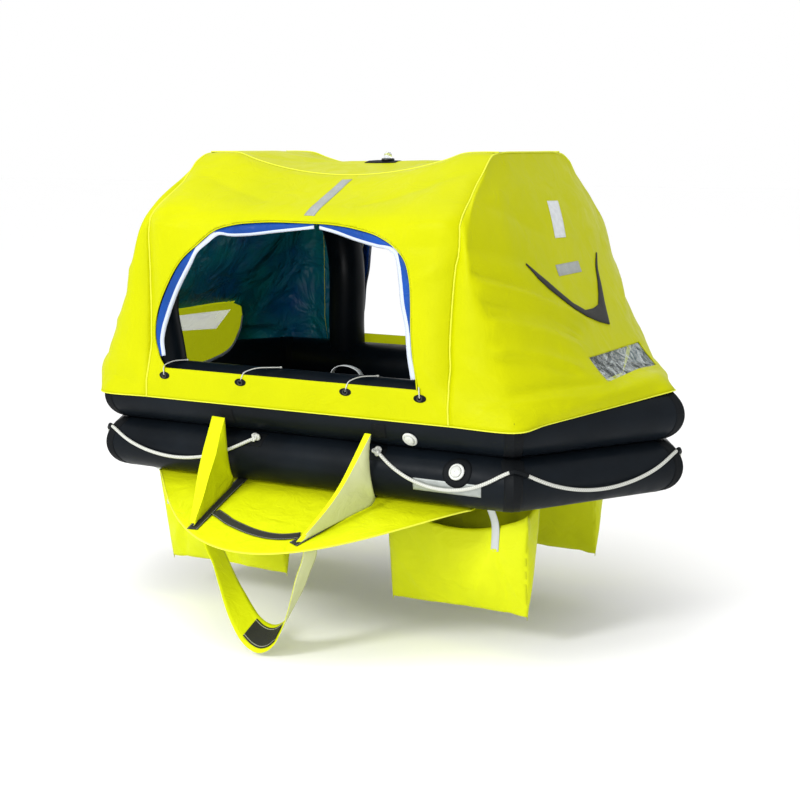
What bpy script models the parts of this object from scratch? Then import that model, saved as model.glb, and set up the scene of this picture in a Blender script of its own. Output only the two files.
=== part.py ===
# Life raft: two stacked buoyancy tubes, hexagonal in plan, with a canopy over two inflated arches.
# Lengths are in tube radii until place() turns them into metres. X runs along the long side,
# the boarding side faces -Y, and Z is up from the water the empty raft floats in.

import math

import bmesh
import bpy
import numpy as np
from mathutils import Vector

# Driving dimensions
TUBE_R = 0.100            # metres, radius of both buoyancy tubes
DRAFT = 0.045             # metres, lower tube's bottom to the waterline of the empty raft
GAP = 0.0003              # metres, between pieces that touch
FABRIC = 0.004            # metres, canopy panels
CORNER_X = 8.40           # tube radii from here on: the plan's front and back corners
CORNER_Y = 5.61
TIP_X = 11.595            # the pointed ends
SQUASH = 0.025            # flat where the tubes are bonded
ARCH_R = 0.80             # canopy arch tube radius
ROOF_Z = 12.437           # canopy height over the lower tube's bottom
ROOF_Y = 3.15             # half width of the flat roof
KNEE_Z = 10.2
KNEE_Y = 6.58
SPAR_R = 0.40             # spar under the ridge

G = GAP / TUBE_R
T = FABRIC / TUBE_R

for old in list(bpy.data.objects):
    bpy.data.objects.remove(old, do_unlink=True)


# Materials
def material(name, rgb, rough, metal=0.0, alpha=1.0):
    m = bpy.data.materials.new(name)
    m.use_nodes = True
    b = m.node_tree.nodes["Principled BSDF"]
    b.inputs["Base Color"].default_value = (rgb[0], rgb[1], rgb[2], 1.0)
    b.inputs["Roughness"].default_value = rough
    b.inputs["Metallic"].default_value = metal
    b.inputs["Alpha"].default_value = alpha
    return m


LOOKS = {
    "yellow": ((0.80, 0.84, 0.01), 0.6, 0.0, 1.0),
    "tube": ((0.012, 0.016, 0.024), 0.5, 0.0, 1.0),
    "blue": ((0.01, 0.09, 0.50), 0.6, 0.0, 1.0),
    "white": ((0.72, 0.74, 0.76), 0.6, 0.0, 1.0),
    "webbing": ((0.015, 0.017, 0.013), 0.8, 0.0, 1.0),
    "tape": ((0.45, 0.47, 0.45), 0.3, 0.0, 1.0),
    "clear": ((0.75, 0.78, 0.78), 0.1, 0.0, 0.35),
    "steel": ((0.30, 0.31, 0.32), 0.35, 1.0, 1.0),
}


# Mesh helpers
def place(p):
    return Vector((p[0] * TUBE_R, p[1] * TUBE_R, p[2] * TUBE_R - DRAFT))


def add(name, verts, faces, look):
    """One named solid from points in tube radii; its faces are triangulated and turned outward."""
    bm = bmesh.new()
    vs = [bm.verts.new(place(v)) for v in verts]
    bm.verts.ensure_lookup_table()
    for f in faces:
        bm.faces.new([vs[i] for i in f])
    bm.normal_update()
    bmesh.ops.triangulate(bm, faces=[f for f in bm.faces if len(f.verts) > 4])
    bmesh.ops.recalc_face_normals(bm, faces=bm.faces)
    if bm.calc_volume(signed=True) < 0:
        bmesh.ops.reverse_faces(bm, faces=bm.faces)
    me = bpy.data.meshes.new(name)
    bm.to_mesh(me)
    bm.free()
    ob = bpy.data.objects.new(name, me)
    bpy.context.scene.collection.objects.link(ob)
    rgb, rough, metal, alpha = LOOKS[look]
    me.materials.append(material(name + "_look", rgb, rough, metal, alpha))
    return ob


def rings(loops, closed_path=False, caps=True):
    """Faces between successive loops of equal length, capped unless the path closes on itself."""
    n = len(loops[0])
    verts = [tuple(p) for loop in loops for p in loop]
    faces = []
    count = len(loops)
    for i in range(count if closed_path else count - 1):
        a = i * n
        b = ((i + 1) % count) * n
        for j in range(n):
            k = (j + 1) % n
            faces.append((a + j, a + k, b + k, b + j))
    if caps and not closed_path:
        faces.append(tuple(range(n))[::-1])
        faces.append(tuple((count - 1) * n + j for j in range(n)))
    return verts, faces


def cut(ob, cutter):
    mod = ob.modifiers.new("cut", "BOOLEAN")
    mod.operation = "DIFFERENCE"
    mod.solver = "EXACT"
    mod.object = cutter
    dg = bpy.context.evaluated_depsgraph_get()
    me = bpy.data.meshes.new_from_object(ob.evaluated_get(dg))
    ob.modifiers.clear()
    old = ob.data
    ob.data = me
    bpy.data.meshes.remove(old)
    bm = bmesh.new()
    bm.from_mesh(me)
    bmesh.ops.remove_doubles(bm, verts=bm.verts, dist=0.00002)
    bmesh.ops.dissolve_degenerate(bm, edges=bm.edges, dist=0.00002)
    bmesh.ops.triangulate(bm, faces=[f for f in bm.faces if len(f.verts) > 3])
    bmesh.ops.recalc_face_normals(bm, faces=bm.faces)
    bm.to_mesh(me)
    bm.free()
    tool = cutter.data
    bpy.data.objects.remove(cutter, do_unlink=True)
    bpy.data.meshes.remove(tool)


def mirror_points(points, axis):
    out = np.array(points, float)
    out[..., axis] *= -1.0
    return out


# The plan of the tubes
PLAN = np.array([(CORNER_X, -CORNER_Y), (TIP_X, 0.0), (CORNER_X, CORNER_Y),
                 (-CORNER_X, CORNER_Y), (-TIP_X, 0.0), (-CORNER_X, -CORNER_Y)])


def outward(i):
    d = PLAN[(i + 1) % 6] - PLAN[i]
    d = d / np.linalg.norm(d)
    return np.array([d[1], -d[0]])


def mitre(i):
    m = outward(i - 1) + outward(i)
    m = m / np.linalg.norm(m)
    return m / (m @ outward(i))


def plan_loop(offset, z):
    return [(*(PLAN[i] + mitre(i) * offset), z) for i in range(6)]


def on_side(i, s, offset, z):
    """A point at share s of side i, moved outward by offset at height z."""
    a = PLAN[i] + mitre(i) * offset
    b = PLAN[(i + 1) % 6] + mitre((i + 1) % 6) * offset
    p = a * (1 - s) + b * s
    return (p[0], p[1], z)


TUBE_SIDES = 32
LEVELS = [math.radians(360.0 * k / TUBE_SIDES) for k in range(TUBE_SIDES)]


def tube_section(centre, low, high):
    return [(math.cos(a), min(max(math.sin(a), low), high) + centre) for a in LEVELS]


def ring_tube(name, section):
    loops = []
    for i in range(6):
        m = mitre(i)
        loops.append([(PLAN[i][0] + m[0] * d, PLAN[i][1] + m[1] * d, z) for d, z in section])
    v, f = rings(loops, closed_path=True)
    return add(name, v, f, "tube")


LOW_Z = 1.0
TOP_Z = 3.0 - 2 * SQUASH + G
ring_tube("lower_tube", tube_section(LOW_Z, -1.0, 1.0 - SQUASH))
ring_tube("upper_tube", tube_section(TOP_Z, -1.0 + SQUASH, 1.0))


# The floor is bonded inside the lower tube, so its edge follows the tube
def tube_inside(z):
    """How far inside its centreline the lower tube reaches at height z."""
    a = [-math.pi / 2 - k * 2 * math.pi / TUBE_SIDES for k in range(TUBE_SIDES // 4 + 1)]
    zs = [1.0 + math.sin(x) for x in a]
    ds = [math.cos(x) for x in a]
    return float(np.interp(z, zs, ds))


levels = [1.0 + math.sin(-math.pi / 2 - k * 2 * math.pi / TUBE_SIDES) for k in range(1, 6)]
levels = [0.06] + [z for z in levels if 0.06 < z < 0.30] + [0.30]
v, f = rings([plan_loop(tube_inside(z) - 1.6 * G, z) for z in levels])
add("floor", v, f, "tube")


# Curves
def rounded(points, reach, steps=4):
    """A polyline with each inner corner replaced by a short curve that starts reach before it."""
    pts = [np.array(p, float) for p in points]
    out = [pts[0]]
    for i in range(1, len(pts) - 1):
        r = reach[i] if isinstance(reach, (list, tuple)) else reach
        if r <= 0:
            out.append(pts[i])
            continue
        a = pts[i - 1] - pts[i]
        b = pts[i + 1] - pts[i]
        ra = min(r, np.linalg.norm(a) * 0.49)
        rb = min(r, np.linalg.norm(b) * 0.49)
        p0 = pts[i] + a / np.linalg.norm(a) * ra
        p2 = pts[i] + b / np.linalg.norm(b) * rb
        for k in range(steps + 1):
            t = k / steps
            out.append(p0 * (1 - t) ** 2 + pts[i] * 2 * t * (1 - t) + p2 * t * t)
    out.append(pts[-1])
    return np.array(out)


def smooth(knots, values, at):
    """Monotone-safe cubic curve through values at the given knots."""
    knots = np.array(knots, float)
    values = np.array(values, float)
    slope = np.gradient(values, knots, axis=0)
    out = []
    for t in np.atleast_1d(at):
        i = int(np.clip(np.searchsorted(knots, t) - 1, 0, len(knots) - 2))
        h = knots[i + 1] - knots[i]
        u = (t - knots[i]) / h
        h00 = 2 * u ** 3 - 3 * u ** 2 + 1
        h10 = u ** 3 - 2 * u ** 2 + u
        h01 = -2 * u ** 3 + 3 * u ** 2
        h11 = u ** 3 - u ** 2
        out.append(h00 * values[i] + h10 * h * slope[i] + h01 * values[i + 1] + h11 * h * slope[i + 1])
    return np.array(out)


def sweep(name, path, radius, look, sides=12, closed=False, start_up=(0, 0, 1), flat=1.0):
    """A tube along a path, in tube radii, with even twist; flat under 1 makes it oval."""
    path = [np.array(p, float) for p in path]
    n = len(path)
    loops = []
    normal = None
    for i in range(n):
        if closed:
            d = path[(i + 1) % n] - path[i - 1]
        else:
            d = path[min(i + 1, n - 1)] - path[max(i - 1, 0)]
        d = d / np.linalg.norm(d)
        if normal is None:
            normal = np.array(start_up, float)
        normal = normal - d * (normal @ d)
        normal = normal / np.linalg.norm(normal)
        side = np.cross(d, normal)
        r = radius[i] if hasattr(radius, "__len__") else radius
        loops.append([path[i] + r * (math.cos(a) * flat * normal + math.sin(a) * side)
                      for a in (2 * math.pi * k / sides for k in range(sides))])
    v, f = rings(loops, closed_path=closed)
    return add(name, v, f, look)


def grid_normals(p):
    du = np.gradient(p, axis=0)
    dv = np.gradient(p, axis=1)
    n = np.cross(du, dv)
    return n / np.linalg.norm(n, axis=2, keepdims=True)


def shell(name, outer, inner, look):
    """A closed panel between two grids of points of the same size."""
    a, b = outer.shape[:2]
    verts = [tuple(x) for x in outer.reshape(-1, 3)] + [tuple(x) for x in inner.reshape(-1, 3)]
    m = a * b
    faces = []
    for i in range(a - 1):
        for j in range(b - 1):
            q = (i * b + j, i * b + j + 1, (i + 1) * b + j + 1, (i + 1) * b + j)
            faces.append((q[0], q[1], q[2]))
            faces.append((q[0], q[2], q[3]))
            faces.append((q[2] + m, q[1] + m, q[0] + m))
            faces.append((q[3] + m, q[2] + m, q[0] + m))
    edge = [(0, j) for j in range(b)] + [(i, b - 1) for i in range(1, a)]
    edge += [(a - 1, j) for j in range(b - 2, -1, -1)] + [(i, 0) for i in range(a - 2, 0, -1)]
    ids = [i * b + j for i, j in edge]
    for k in range(len(ids)):
        p, q = ids[k], ids[(k + 1) % len(ids)]
        faces.append((q, p, p + m))
        faces.append((q, p + m, q + m))
    return add(name, verts, faces, look)


def pull_in(outer, inner, amount, sides):
    """Moves the named borders of a panel toward its middle, so that panels don't touch."""
    for grid in (outer, inner):
        if "first_row" in sides:
            d = grid[1] - grid[0]
            grid[0] += d / np.linalg.norm(d, axis=1, keepdims=True) * amount
        if "last_row" in sides:
            d = grid[-2] - grid[-1]
            grid[-1] += d / np.linalg.norm(d, axis=1, keepdims=True) * amount
        if "first_col" in sides:
            d = grid[:, 1] - grid[:, 0]
            grid[:, 0] += d / np.linalg.norm(d, axis=1, keepdims=True) * amount
        if "last_col" in sides:
            d = grid[:, -2] - grid[:, -1]
            grid[:, -1] += d / np.linalg.norm(d, axis=1, keepdims=True) * amount


# The seam over an arch, from its foot up to the roof: half of it, at the front
FOOT_Y = CORNER_Y + (1.0 + T + 2 * G) * math.cos(math.radians(5.0))
FOOT_Z = TOP_Z + (1.0 + T + 2 * G) * math.sin(math.radians(5.0))


def seam_points(mid):
    """The section's control points: mid 0 is at an arch, 1 is halfway between the arches."""
    return [
        (-FOOT_Y, FOOT_Z),
        (-FOOT_Y + 0.01, 4.0),
        (-FOOT_Y + 0.02 + 0.03 * mid, 6.0),
        (-FOOT_Y + 0.03 + 0.08 * mid, 8.1),
        (-KNEE_Y + 0.22 * mid, KNEE_Z - 0.14 * mid),
        (-ROOF_Y - 0.05 * mid, ROOF_Z - 0.95 * mid),
        (0.0, ROOF_Z - 0.36 * mid),
    ]


ROOF_COLS = 15


def front_half(mid):
    """Section from the foot to where the roof's corner ends, and the ridge point."""
    c = [(0.0, y, z) for y, z in seam_points(mid)]
    line = rounded(c, [0, 0, 0, 0, 0.75, 0.45, 0], 3)
    return line[:-1], line[-1]


def seam_x(z, left=False):
    """How far out the seam runs at height z."""
    zs = [3.0, 4.0, 5.81, 8.07, 10.2, 12.437]
    xs = [6.47, 6.42, 6.37, 6.53, 6.83, 6.39]
    if left:
        xs = [6.82, 6.80, 6.78, 6.80, 6.84, 6.39]
    return float(smooth(zs, xs, z)[0])


def densify(line, extra):
    """Adds evenly spaced points on the long straights of a line, given as {index: count}."""
    out = []
    for i in range(len(line) - 1):
        k = extra.get(i, 0) + 1
        for j in range(k):
            out.append(line[i] * (1 - j / k) + line[i + 1] * (j / k))
    out.append(line[-1])
    return np.array(out)


SIDE_EXTRA = {0: 1, 1: 1, 2: 1, 3: 1, 7: 3}


def side_line(mid):
    side, ridge = front_half(mid)
    return densify(side, SIDE_EXTRA), ridge


def slack(w):
    """How far the fabric has left the arches: 0 on them, 1 halfway between."""
    return max(0.0, 1.0 - (w / 0.80) ** 2)


def middle_grid(x_share, part):
    """Rows of the fabric between the arches; part is front or roof."""
    cols = []
    for w in x_share:
        side, ridge = side_line(slack(w))
        if part == "front":
            line = side
        else:
            a = side[-1]
            b = np.array([0.0, ridge[1], ridge[2]])
            half = [a * (1 - t) + b * t for t in np.linspace(0, 1, (ROOF_COLS + 1) // 2)]
            # the ridge is rounded a little over the spar
            back = [np.array([p[0], -p[1], p[2]]) for p in half[:-1]][::-1]
            line = np.array(half + back)
        pts = []
        for p in line:
            reach = seam_x(p[2], left=(w < 0)) if part == "front" else seam_x(12.437)
            pts.append((w * reach, p[1], p[2]))
        cols.append(pts)
    return np.array(cols).transpose(1, 0, 2)


W = np.linspace(-1.0, 1.0, 19)
front = middle_grid(W, "front")
roof = middle_grid(W, "roof")
# the top rows of the front and the first of the roof are one line
roof[0] = front[-1]
roof[-1] = mirror_points(front[-1], 1)
back = mirror_points(front, 1)[::-1]


# The ends of the canopy, front half first, as control columns from the arch to the middle
def tube_out(i, s, deg, extra=0.0):
    a = math.radians(deg)
    r = 1.0 + T + 2 * G + extra
    return on_side(i, s, r * math.cos(a), TOP_Z + r * math.sin(a))


T_KNOTS = [0.0, 0.27, 0.45, 0.62, 0.78, 0.90, 0.955, 1.0]


BASE_DEG = (5.0, 55.0)     # how far up the upper tube the lower edge is bonded, at the corner and the tip


def base_deg(s):
    return BASE_DEG[0] * (1 - s) + BASE_DEG[1] * s


def end_columns(left):
    seam = front[:, 0] if left else front[:, -1]
    seam = np.array(seam)[::-1].copy()
    if left:
        seam[:, 0] *= -1
    arc = np.linspace(0, 1, len(seam))
    length = np.concatenate([[0], np.cumsum(np.linalg.norm(np.diff(seam, axis=0), axis=1))])
    arc = length / length[-1]
    top = seam[0]
    corner = tube_out(0, 0.0, BASE_DEG[0])
    tip = tube_out(0, 1.0, BASE_DEG[1], 0.05)
    w1 = tube_out(0, 0.46, base_deg(0.46))
    w2 = tube_out(0, 0.74, base_deg(0.74))
    zt = top[2]
    xt = top[0]
    kx = [7.10, 7.82, 8.55, 9.25, 9.80, 9.85] if left else [6.84, 7.20, 7.95, 8.42, 8.85, 9.00]
    k_col = [(xt, top[1] * 0.90, zt), (kx[0], -6.28, 10.00), (kx[1], -6.50, 8.10), (kx[2], -6.52, 6.30),
             (kx[3], -6.55, 4.95), (kx[4], -6.60, 3.95), (kx[5], -6.65, 3.50), corner]
    w1_col = [(xt, top[1] * 0.66, zt), (7.35, -4.30, 10.05), (8.12, -4.35, 8.10), (9.02, -3.95, 6.35),
              (9.88, -3.35, 5.25), (10.62, -3.20, 4.35), (10.86, -3.35, 3.92), w1]
    w2_col = [(xt, top[1] * 0.33, zt), (7.50, -2.20, 10.05), (8.22, -2.20, 8.10), (9.18, -2.10, 6.35),
              (9.92, -1.80, 5.25), (10.74, -1.65, 4.37), (11.35, -1.70, 4.20), w2]
    c_col = [(xt, 0.0, zt), (7.52, 0.0, 10.05), (8.24, 0.0, 8.10), (9.20, 0.0, 6.35),
             (9.93, 0.0, 5.25), (10.85, 0.0, 4.55), (11.80, 0.0, 4.42), tip]
    return seam, arc, [k_col, w1_col, w2_col, c_col]


def bspline(points, n):
    """Quadratic B-spline with its ends at the first and last point, sampled at n places."""
    p = np.array(points, float)
    m = len(p)
    spans = m - 2
    out = []
    for u in np.linspace(0, spans, n):
        i = min(int(u), spans - 1)
        t = u - i
        a = p[i] if i == 0 else (p[i] + p[i + 1]) / 2
        b = p[i + 1]
        c = p[i + 2] if i == spans - 1 else (p[i + 1] + p[i + 2]) / 2
        out.append(a * (1 - t) ** 2 + b * 2 * t * (1 - t) + c * t * t)
    return np.array(out)


END_COLS = ROOF_COLS


def clear_of_tube(p, reach):
    """The same point, or if it is too near the upper tube, moved straight out from the tube's middle."""
    best = None
    for i in range(6):
        a = PLAN[i]
        b = PLAN[(i + 1) % 6]
        t = np.clip((p[:2] - a) @ (b - a) / ((b - a) @ (b - a)), 0, 1)
        c = np.array([*(a + (b - a) * t), TOP_Z])
        d = np.linalg.norm(p - c)
        if best is None or d < best[0]:
            best = (d, c)
    d, c = best
    return p if d >= reach else c + (p - c) / d * reach


def end_grid(left):
    seam, arc, cols = end_columns(left)
    rows = []
    sampled = [smooth(T_KNOTS, c, arc) for c in cols]
    for r in range(len(seam)):
        half = [seam[r]] + [c[r] for c in sampled]
        full = half + [mirror_points(p, 1) for p in half[:-1]][::-1]
        line = bspline(full, END_COLS)
        rows.append(line)
    rows = np.array(rows)
    # the top row is the arch's straight top, in step with the roof's own points
    rows[0] = roof[:, -1]
    rows[-1] = base_row()
    rows[:, 0] = seam
    rows[:, -1] = mirror_points(seam, 1)
    for r in range(1, len(rows) - 1):
        for c in range(END_COLS):
            rows[r, c] = clear_of_tube(rows[r, c], 1.0 + T + 2 * G + 0.03)
    if left:
        rows = mirror_points(rows, 0)
    return rows


BASE_SHARES = [0.0, 0.18, 0.42, 0.60, 0.74, 0.87, 1.0]


def base_row():
    """The canopy's lower edge on the upper tube: the seam's foot, the corner, then on to the tip and back."""
    pts = [np.array([seam_x(FOOT_Z), -FOOT_Y, FOOT_Z])]
    pts += [np.array(tube_out(0, s, base_deg(s), 0.05 * s ** 6)) for s in BASE_SHARES]
    pts += [mirror_points(p, 1) for p in pts[:-1]][::-1]
    return np.array(pts)


end_right = end_grid(False)
end_left = end_grid(True)


def knee_in(grid):
    """The back knee at the right hangs a little lower on its arch, so the fabric there lies further in."""
    x, y, z = grid[..., 0], grid[..., 1], grid[..., 2]
    k = np.exp(-((z - 10.4) / 0.9) ** 2) * np.clip((x - 4.4) / 1.4, 0, 1) * np.clip((y - 2.6) / 2.4, 0, 1)
    grid[..., 1] = y - 0.26 * k
    grid[..., 0] = x - 0.10 * k
    return grid


for grid in (back, roof, end_right):
    knee_in(grid)
panels = {
    "canopy_front": front,
    "canopy_roof": roof,
    "canopy_back": back,
    "canopy_end_right": end_right,
    "canopy_end_left": end_left,
}
CENTRE = np.array([0.0, 0.0, 5.0])
normals = {}
for name, grid in panels.items():
    n = grid_normals(grid)
    mid = grid.reshape(-1, 3).mean(axis=0)
    if (n.reshape(-1, 3).mean(axis=0) @ (mid - CENTRE)) < 0:
        n = -n
    normals[name] = n


def share(a, b):
    m = a + b
    m = m / np.linalg.norm(m, axis=-1, keepdims=True)
    c = np.sum(m * a, axis=-1, keepdims=True)
    return m / np.maximum(c, 0.5)


# seams between neighbouring panels have one mitred normal on both sides
for end, col, side in (("canopy_end_right", -1, 1), ("canopy_end_left", 0, -1)):
    e = normals[end]
    f = normals["canopy_front"][::-1, col]
    m = share(f, e[:, 0])
    normals["canopy_front"][::-1, col] = m
    e[:, 0] = m
    b = normals["canopy_back"][:, col]
    m = share(b, e[:, -1])
    normals["canopy_back"][:, col] = m
    e[:, -1] = m
    r = normals["canopy_roof"][:, col]
    m = share(r, e[0])
    m[0] = e[0, 0]
    m[-1] = e[0, -1]
    normals["canopy_roof"][:, col] = m
    e[0] = m
for row_a, row_b in ((("canopy_front", -1), ("canopy_roof", 0)), (("canopy_back", 0), ("canopy_roof", -1))):
    a = normals[row_a[0]][row_a[1]]
    b = normals[row_b[0]][row_b[1]]
    m = share(a, b)
    m[0] = a[0]
    m[-1] = a[-1]
    normals[row_a[0]][row_a[1]] = m
    normals[row_b[0]][row_b[1]] = m

borders = {
    "canopy_front": ("last_row", "first_col", "last_col"),
    "canopy_back": ("first_row", "first_col", "last_col"),
    "canopy_roof": ("first_row", "last_row", "first_col", "last_col"),
    "canopy_end_right": ("first_row", "first_col", "last_col"),
    "canopy_end_left": ("first_row", "first_col", "last_col"),
}
made = {}
inner_of = {}
for name, grid in panels.items():
    outer = grid.copy()
    inner = grid - normals[name] * T
    pull_in(outer, inner, 1.2 * G, borders[name])
    inner_of[name] = inner
    made[name] = shell(name, outer, inner, "yellow")


# The doorways, front and back
DOOR = [(-5.93, 4.22), (-6.20, 4.62), (-6.38, 5.25), (-6.38, 5.85), (-6.26, 6.35), (-5.75, 7.45),
        (-4.95, 8.55), (-4.35, 9.02), (-3.50, 9.62), (-2.70, 9.83), (-1.70, 9.93), (0.40, 9.95),
        (1.40, 9.93), (2.60, 9.80), (3.62, 9.55), (4.25, 9.22), (4.72, 8.72), (4.92, 8.05),
        (4.98, 7.20), (4.99, 6.30), (5.07, 5.35), (5.20, 4.60), (5.24, 4.22)]


def prism_y(name, outline, y0, y1):
    n = len(outline)
    verts = [(x, y0, z) for x, z in outline] + [(x, y1, z) for x, z in outline]
    faces = [tuple(range(n)), tuple(range(2 * n - 1, n - 1, -1))]
    faces += [(i, i + n, (i + 1) % n + n, (i + 1) % n) for i in range(n)]
    return add(name, verts, faces, "white")


# the back doorway is the front one turned half round, a little narrower beside the seam
BACK_DOOR = [(-x if x > 0 else -0.93 * x, z) for x, z in DOOR]
cut(made["canopy_front"], prism_y("cutter_front", DOOR, -7.6, -5.2))
cut(made["canopy_back"], prism_y("cutter_back", BACK_DOOR, 5.2, 7.6))


def tube_cutter(name, radius, centre):
    section = [(radius * math.cos(a), centre + radius * math.sin(a)) for a in LEVELS]
    loops = []
    for i in range(6):
        m = mitre(i)
        loops.append([(PLAN[i][0] + m[0] * d, PLAN[i][1] + m[1] * d, z) for d, z in section])
    v, f = rings(loops, closed_path=True)
    return add(name, v, f, "tube")


# The windows: a flat clear pane let into each end
WIN_HALF = 2.45
WIN_TOP = (9.93, 5.25)
WIN_LOW = (10.75, 4.35)


def win_point(x_side, y, along, lift):
    """A point of the window's plane; along runs from its top edge down to its low edge."""
    d = np.array([WIN_LOW[0] - WIN_TOP[0], WIN_LOW[1] - WIN_TOP[1]])
    length = np.linalg.norm(d)
    d = d / length
    n = np.array([-d[1], d[0]])
    p = np.array(WIN_TOP) + d * along * length + n * lift
    return (x_side * p[0], y, p[1])


def win_box(name, side, grow, lift0, lift1, look):
    verts = []
    for lift in (lift0, lift1):
        for a, b in ((0.04, -1), (0.04, 1), (0.96, 1), (0.96, -1)):
            edge = -grow if a < 0.5 else grow
            verts.append(win_point(side, b * (WIN_HALF + grow), a + edge, lift))
    faces = [(0, 1, 2, 3), (7, 6, 5, 4), (0, 4, 5, 1), (1, 5, 6, 2), (2, 6, 7, 3), (3, 7, 4, 0)]
    return add(name, verts, faces, look)


for tag, side in (("right", 1), ("left", -1)):
    cut(made["canopy_end_" + tag], tube_cutter("cutter_tube", 1.0 + 1.5 * G, TOP_Z))
    cut(made["canopy_end_" + tag], win_box("cutter_window", side, 0.0, -1.0, 1.0, "white"))
    win_box("window_" + tag, side, -1.2 * G, -T, -0.2 * T, "clear")


# Canopy arches: round tubes under the seams that stand on the upper tube
INSET = ARCH_R + T + 0.03
UPRIGHT_LEG = [(5.42, CORNER_Y, TOP_Z + 0.45), (5.40, 5.48, 4.9), (5.30, 5.42, 6.6), (5.40, 5.45, 8.1)]
LEANING_LEG = [(6.45, CORNER_Y, TOP_Z + 0.45), (6.80, 5.48, 4.9), (7.18, 5.42, 6.4), (6.85, 5.42, 8.1)]
ARCH_PATHS = {
    "right": [(x, -y, z) for x, y, z in UPRIGHT_LEG] + [(5.84, -5.62, 9.72), (5.56, -2.90, ROOF_Z - INSET),
             (5.56, 2.90, ROOF_Z - INSET), (5.92, 5.28, 9.66), (6.52, 5.36, 8.1)]
             + LEANING_LEG[2::-1],
    "left": [(-x, -y, z) for x, y, z in LEANING_LEG] + [(-6.12, -5.55, 9.72), (-5.56, -2.90, ROOF_Z - INSET),
            (-5.56, 2.90, ROOF_Z - INSET), (-5.70, 5.62, 9.72)]
            + [(-x + 0.30, y, z) for x, y, z in UPRIGHT_LEG[::-1]],
}


def arch_path(tag):
    return rounded(ARCH_PATHS[tag], [0, 0.6, 0.7, 0.7, 0.9, 0.8, 0.8, 0.9, 0.7, 0.7, 0.6, 0], 3)


for tag in ("right", "left"):
    arch = sweep("canopy_arch_" + tag, arch_path(tag), ARCH_R, "tube", sides=16, start_up=(1, 0, 0))
    cut(arch, tube_cutter("cutter_tube", 1.0 + 1.5 * G, TOP_Z))


# Ridge spar between the arches
spar_end = 5.56 - ARCH_R - 1.5 * G
SPAR_Z = ROOF_Z - 0.36 - T - SPAR_R - 0.10
sweep("ridge_spar", [(-spar_end, 0, SPAR_Z), (0, 0, SPAR_Z), (spar_end, 0, SPAR_Z)], SPAR_R, "tube", sides=16)


# The fabric at a place of the front, for pieces that follow it
def front_y(x, z):
    w = x / seam_x(z, left=(x < 0))
    side, ridge = side_line(slack(w))
    return float(np.interp(z, side[:, 2], side[:, 1]))


def along(points, step):
    """The same polyline with points no further apart than step."""
    out = [np.array(points[0], float)]
    for a, b in zip(points[:-1], points[1:]):
        a = np.array(a, float)
        b = np.array(b, float)
        k = max(1, int(math.ceil(np.linalg.norm(b - a) / step)))
        out += [a + (b - a) * j / k for j in range(1, k + 1)]
    return np.array(out)


def inset_line(outline, amount):
    """An open outline moved toward the inside of the doorway."""
    pts = np.array(outline, float)
    centre = np.array([0.0, 7.0])
    out = []
    for i in range(len(pts)):
        d = pts[min(i + 1, len(pts) - 1)] - pts[max(i - 1, 0)]
        n = np.array([d[1], -d[0]]) / np.linalg.norm(d)
        if n @ (centre - pts[i]) < 0:
            n = -n
        out.append(pts[i] + n * (amount[i] if hasattr(amount, "__len__") else amount))
    return np.array(out)


# White binding round each doorway, and the door curtains rolled back behind it
BIND_R = 0.075
for tag, outline, side in (("front", DOOR, 1), ("back", BACK_DOOR, -1)):
    line = inset_line(outline, BIND_R + 2 * G)
    line[0] = line[0] * 0.7 + line[1] * 0.3
    line[-1] = line[-1] * 0.7 + line[-2] * 0.3
    path = [(x, (front_y(x, z) + 0.5 * T) * side, z) for x, z in line]
    sweep("door_binding_" + tag, path, BIND_R, "white", sides=8, start_up=(0, 1, 0))

CURTAIN_FLAT = 0.42
FLAP_LEFT = [(1, 0.10), (2, 0.14), (3, 0.20), (4, 0.24), (5, 0.24), (6, 0.18), (7, 0.08), (8, 0.16), (9, 0.22),
             (10, 0.17), (11, 0.07)]
FLAP_RIGHT = [(12, 0.07), (13, 0.16), (14, 0.22), (15, 0.20), (16, 0.12), (17, 0.20), (18, 0.20), (19, 0.15),
              (20, 0.10), (21, 0.08)]
ROUND = np.linspace(0, 2 * math.pi, 73)


def snug(r):
    """How deep behind the binding's centre an oval roll of half width r lies when it just rests on it."""
    depth = 0.0
    while True:
        x = r + 0.005 + r * np.cos(ROUND)
        y = depth + CURTAIN_FLAT * r * np.sin(ROUND)
        if np.hypot(x, y).min() > BIND_R + 0.003:
            return depth
        depth += 0.002


for tag, outline, side in (("front", DOOR, 1), ("back", BACK_DOOR, -1)):
    for half, spots in (("left", FLAP_LEFT), ("right", FLAP_RIGHT)):
        pts = [outline[i] for i, r in spots]
        radii = [r for i, r in spots]
        edge = inset_line(pts, BIND_R + 2 * G)
        line = inset_line(pts, [BIND_R + 2 * G + r + 0.005 for r in radii])
        path = [(x, (max(front_y(x, z), front_y(*e)) + 0.5 * T + snug(r)) * side, z)
                for (x, z), e, r in zip(line, edge, radii)]
        sweep("door_curtain_" + tag + "_" + half, path, radii, "blue", sides=10, start_up=(0, 1, 0),
              flat=CURTAIN_FLAT)


# Flat pieces laid on a panel, given by shares of its rows and columns
def on_grid(grid, r, c):
    a, b = grid.shape[:2]
    r = min(max(r, 0.0), 1.0) * (a - 1)
    c = min(max(c, 0.0), 1.0) * (b - 1)
    i = min(int(r), a - 2)
    j = min(int(c), b - 2)
    u, v = r - i, c - j
    return (grid[i, j] * (1 - u) * (1 - v) + grid[i + 1, j] * u * (1 - v)
            + grid[i, j + 1] * (1 - u) * v + grid[i + 1, j + 1] * u * v)


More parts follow.
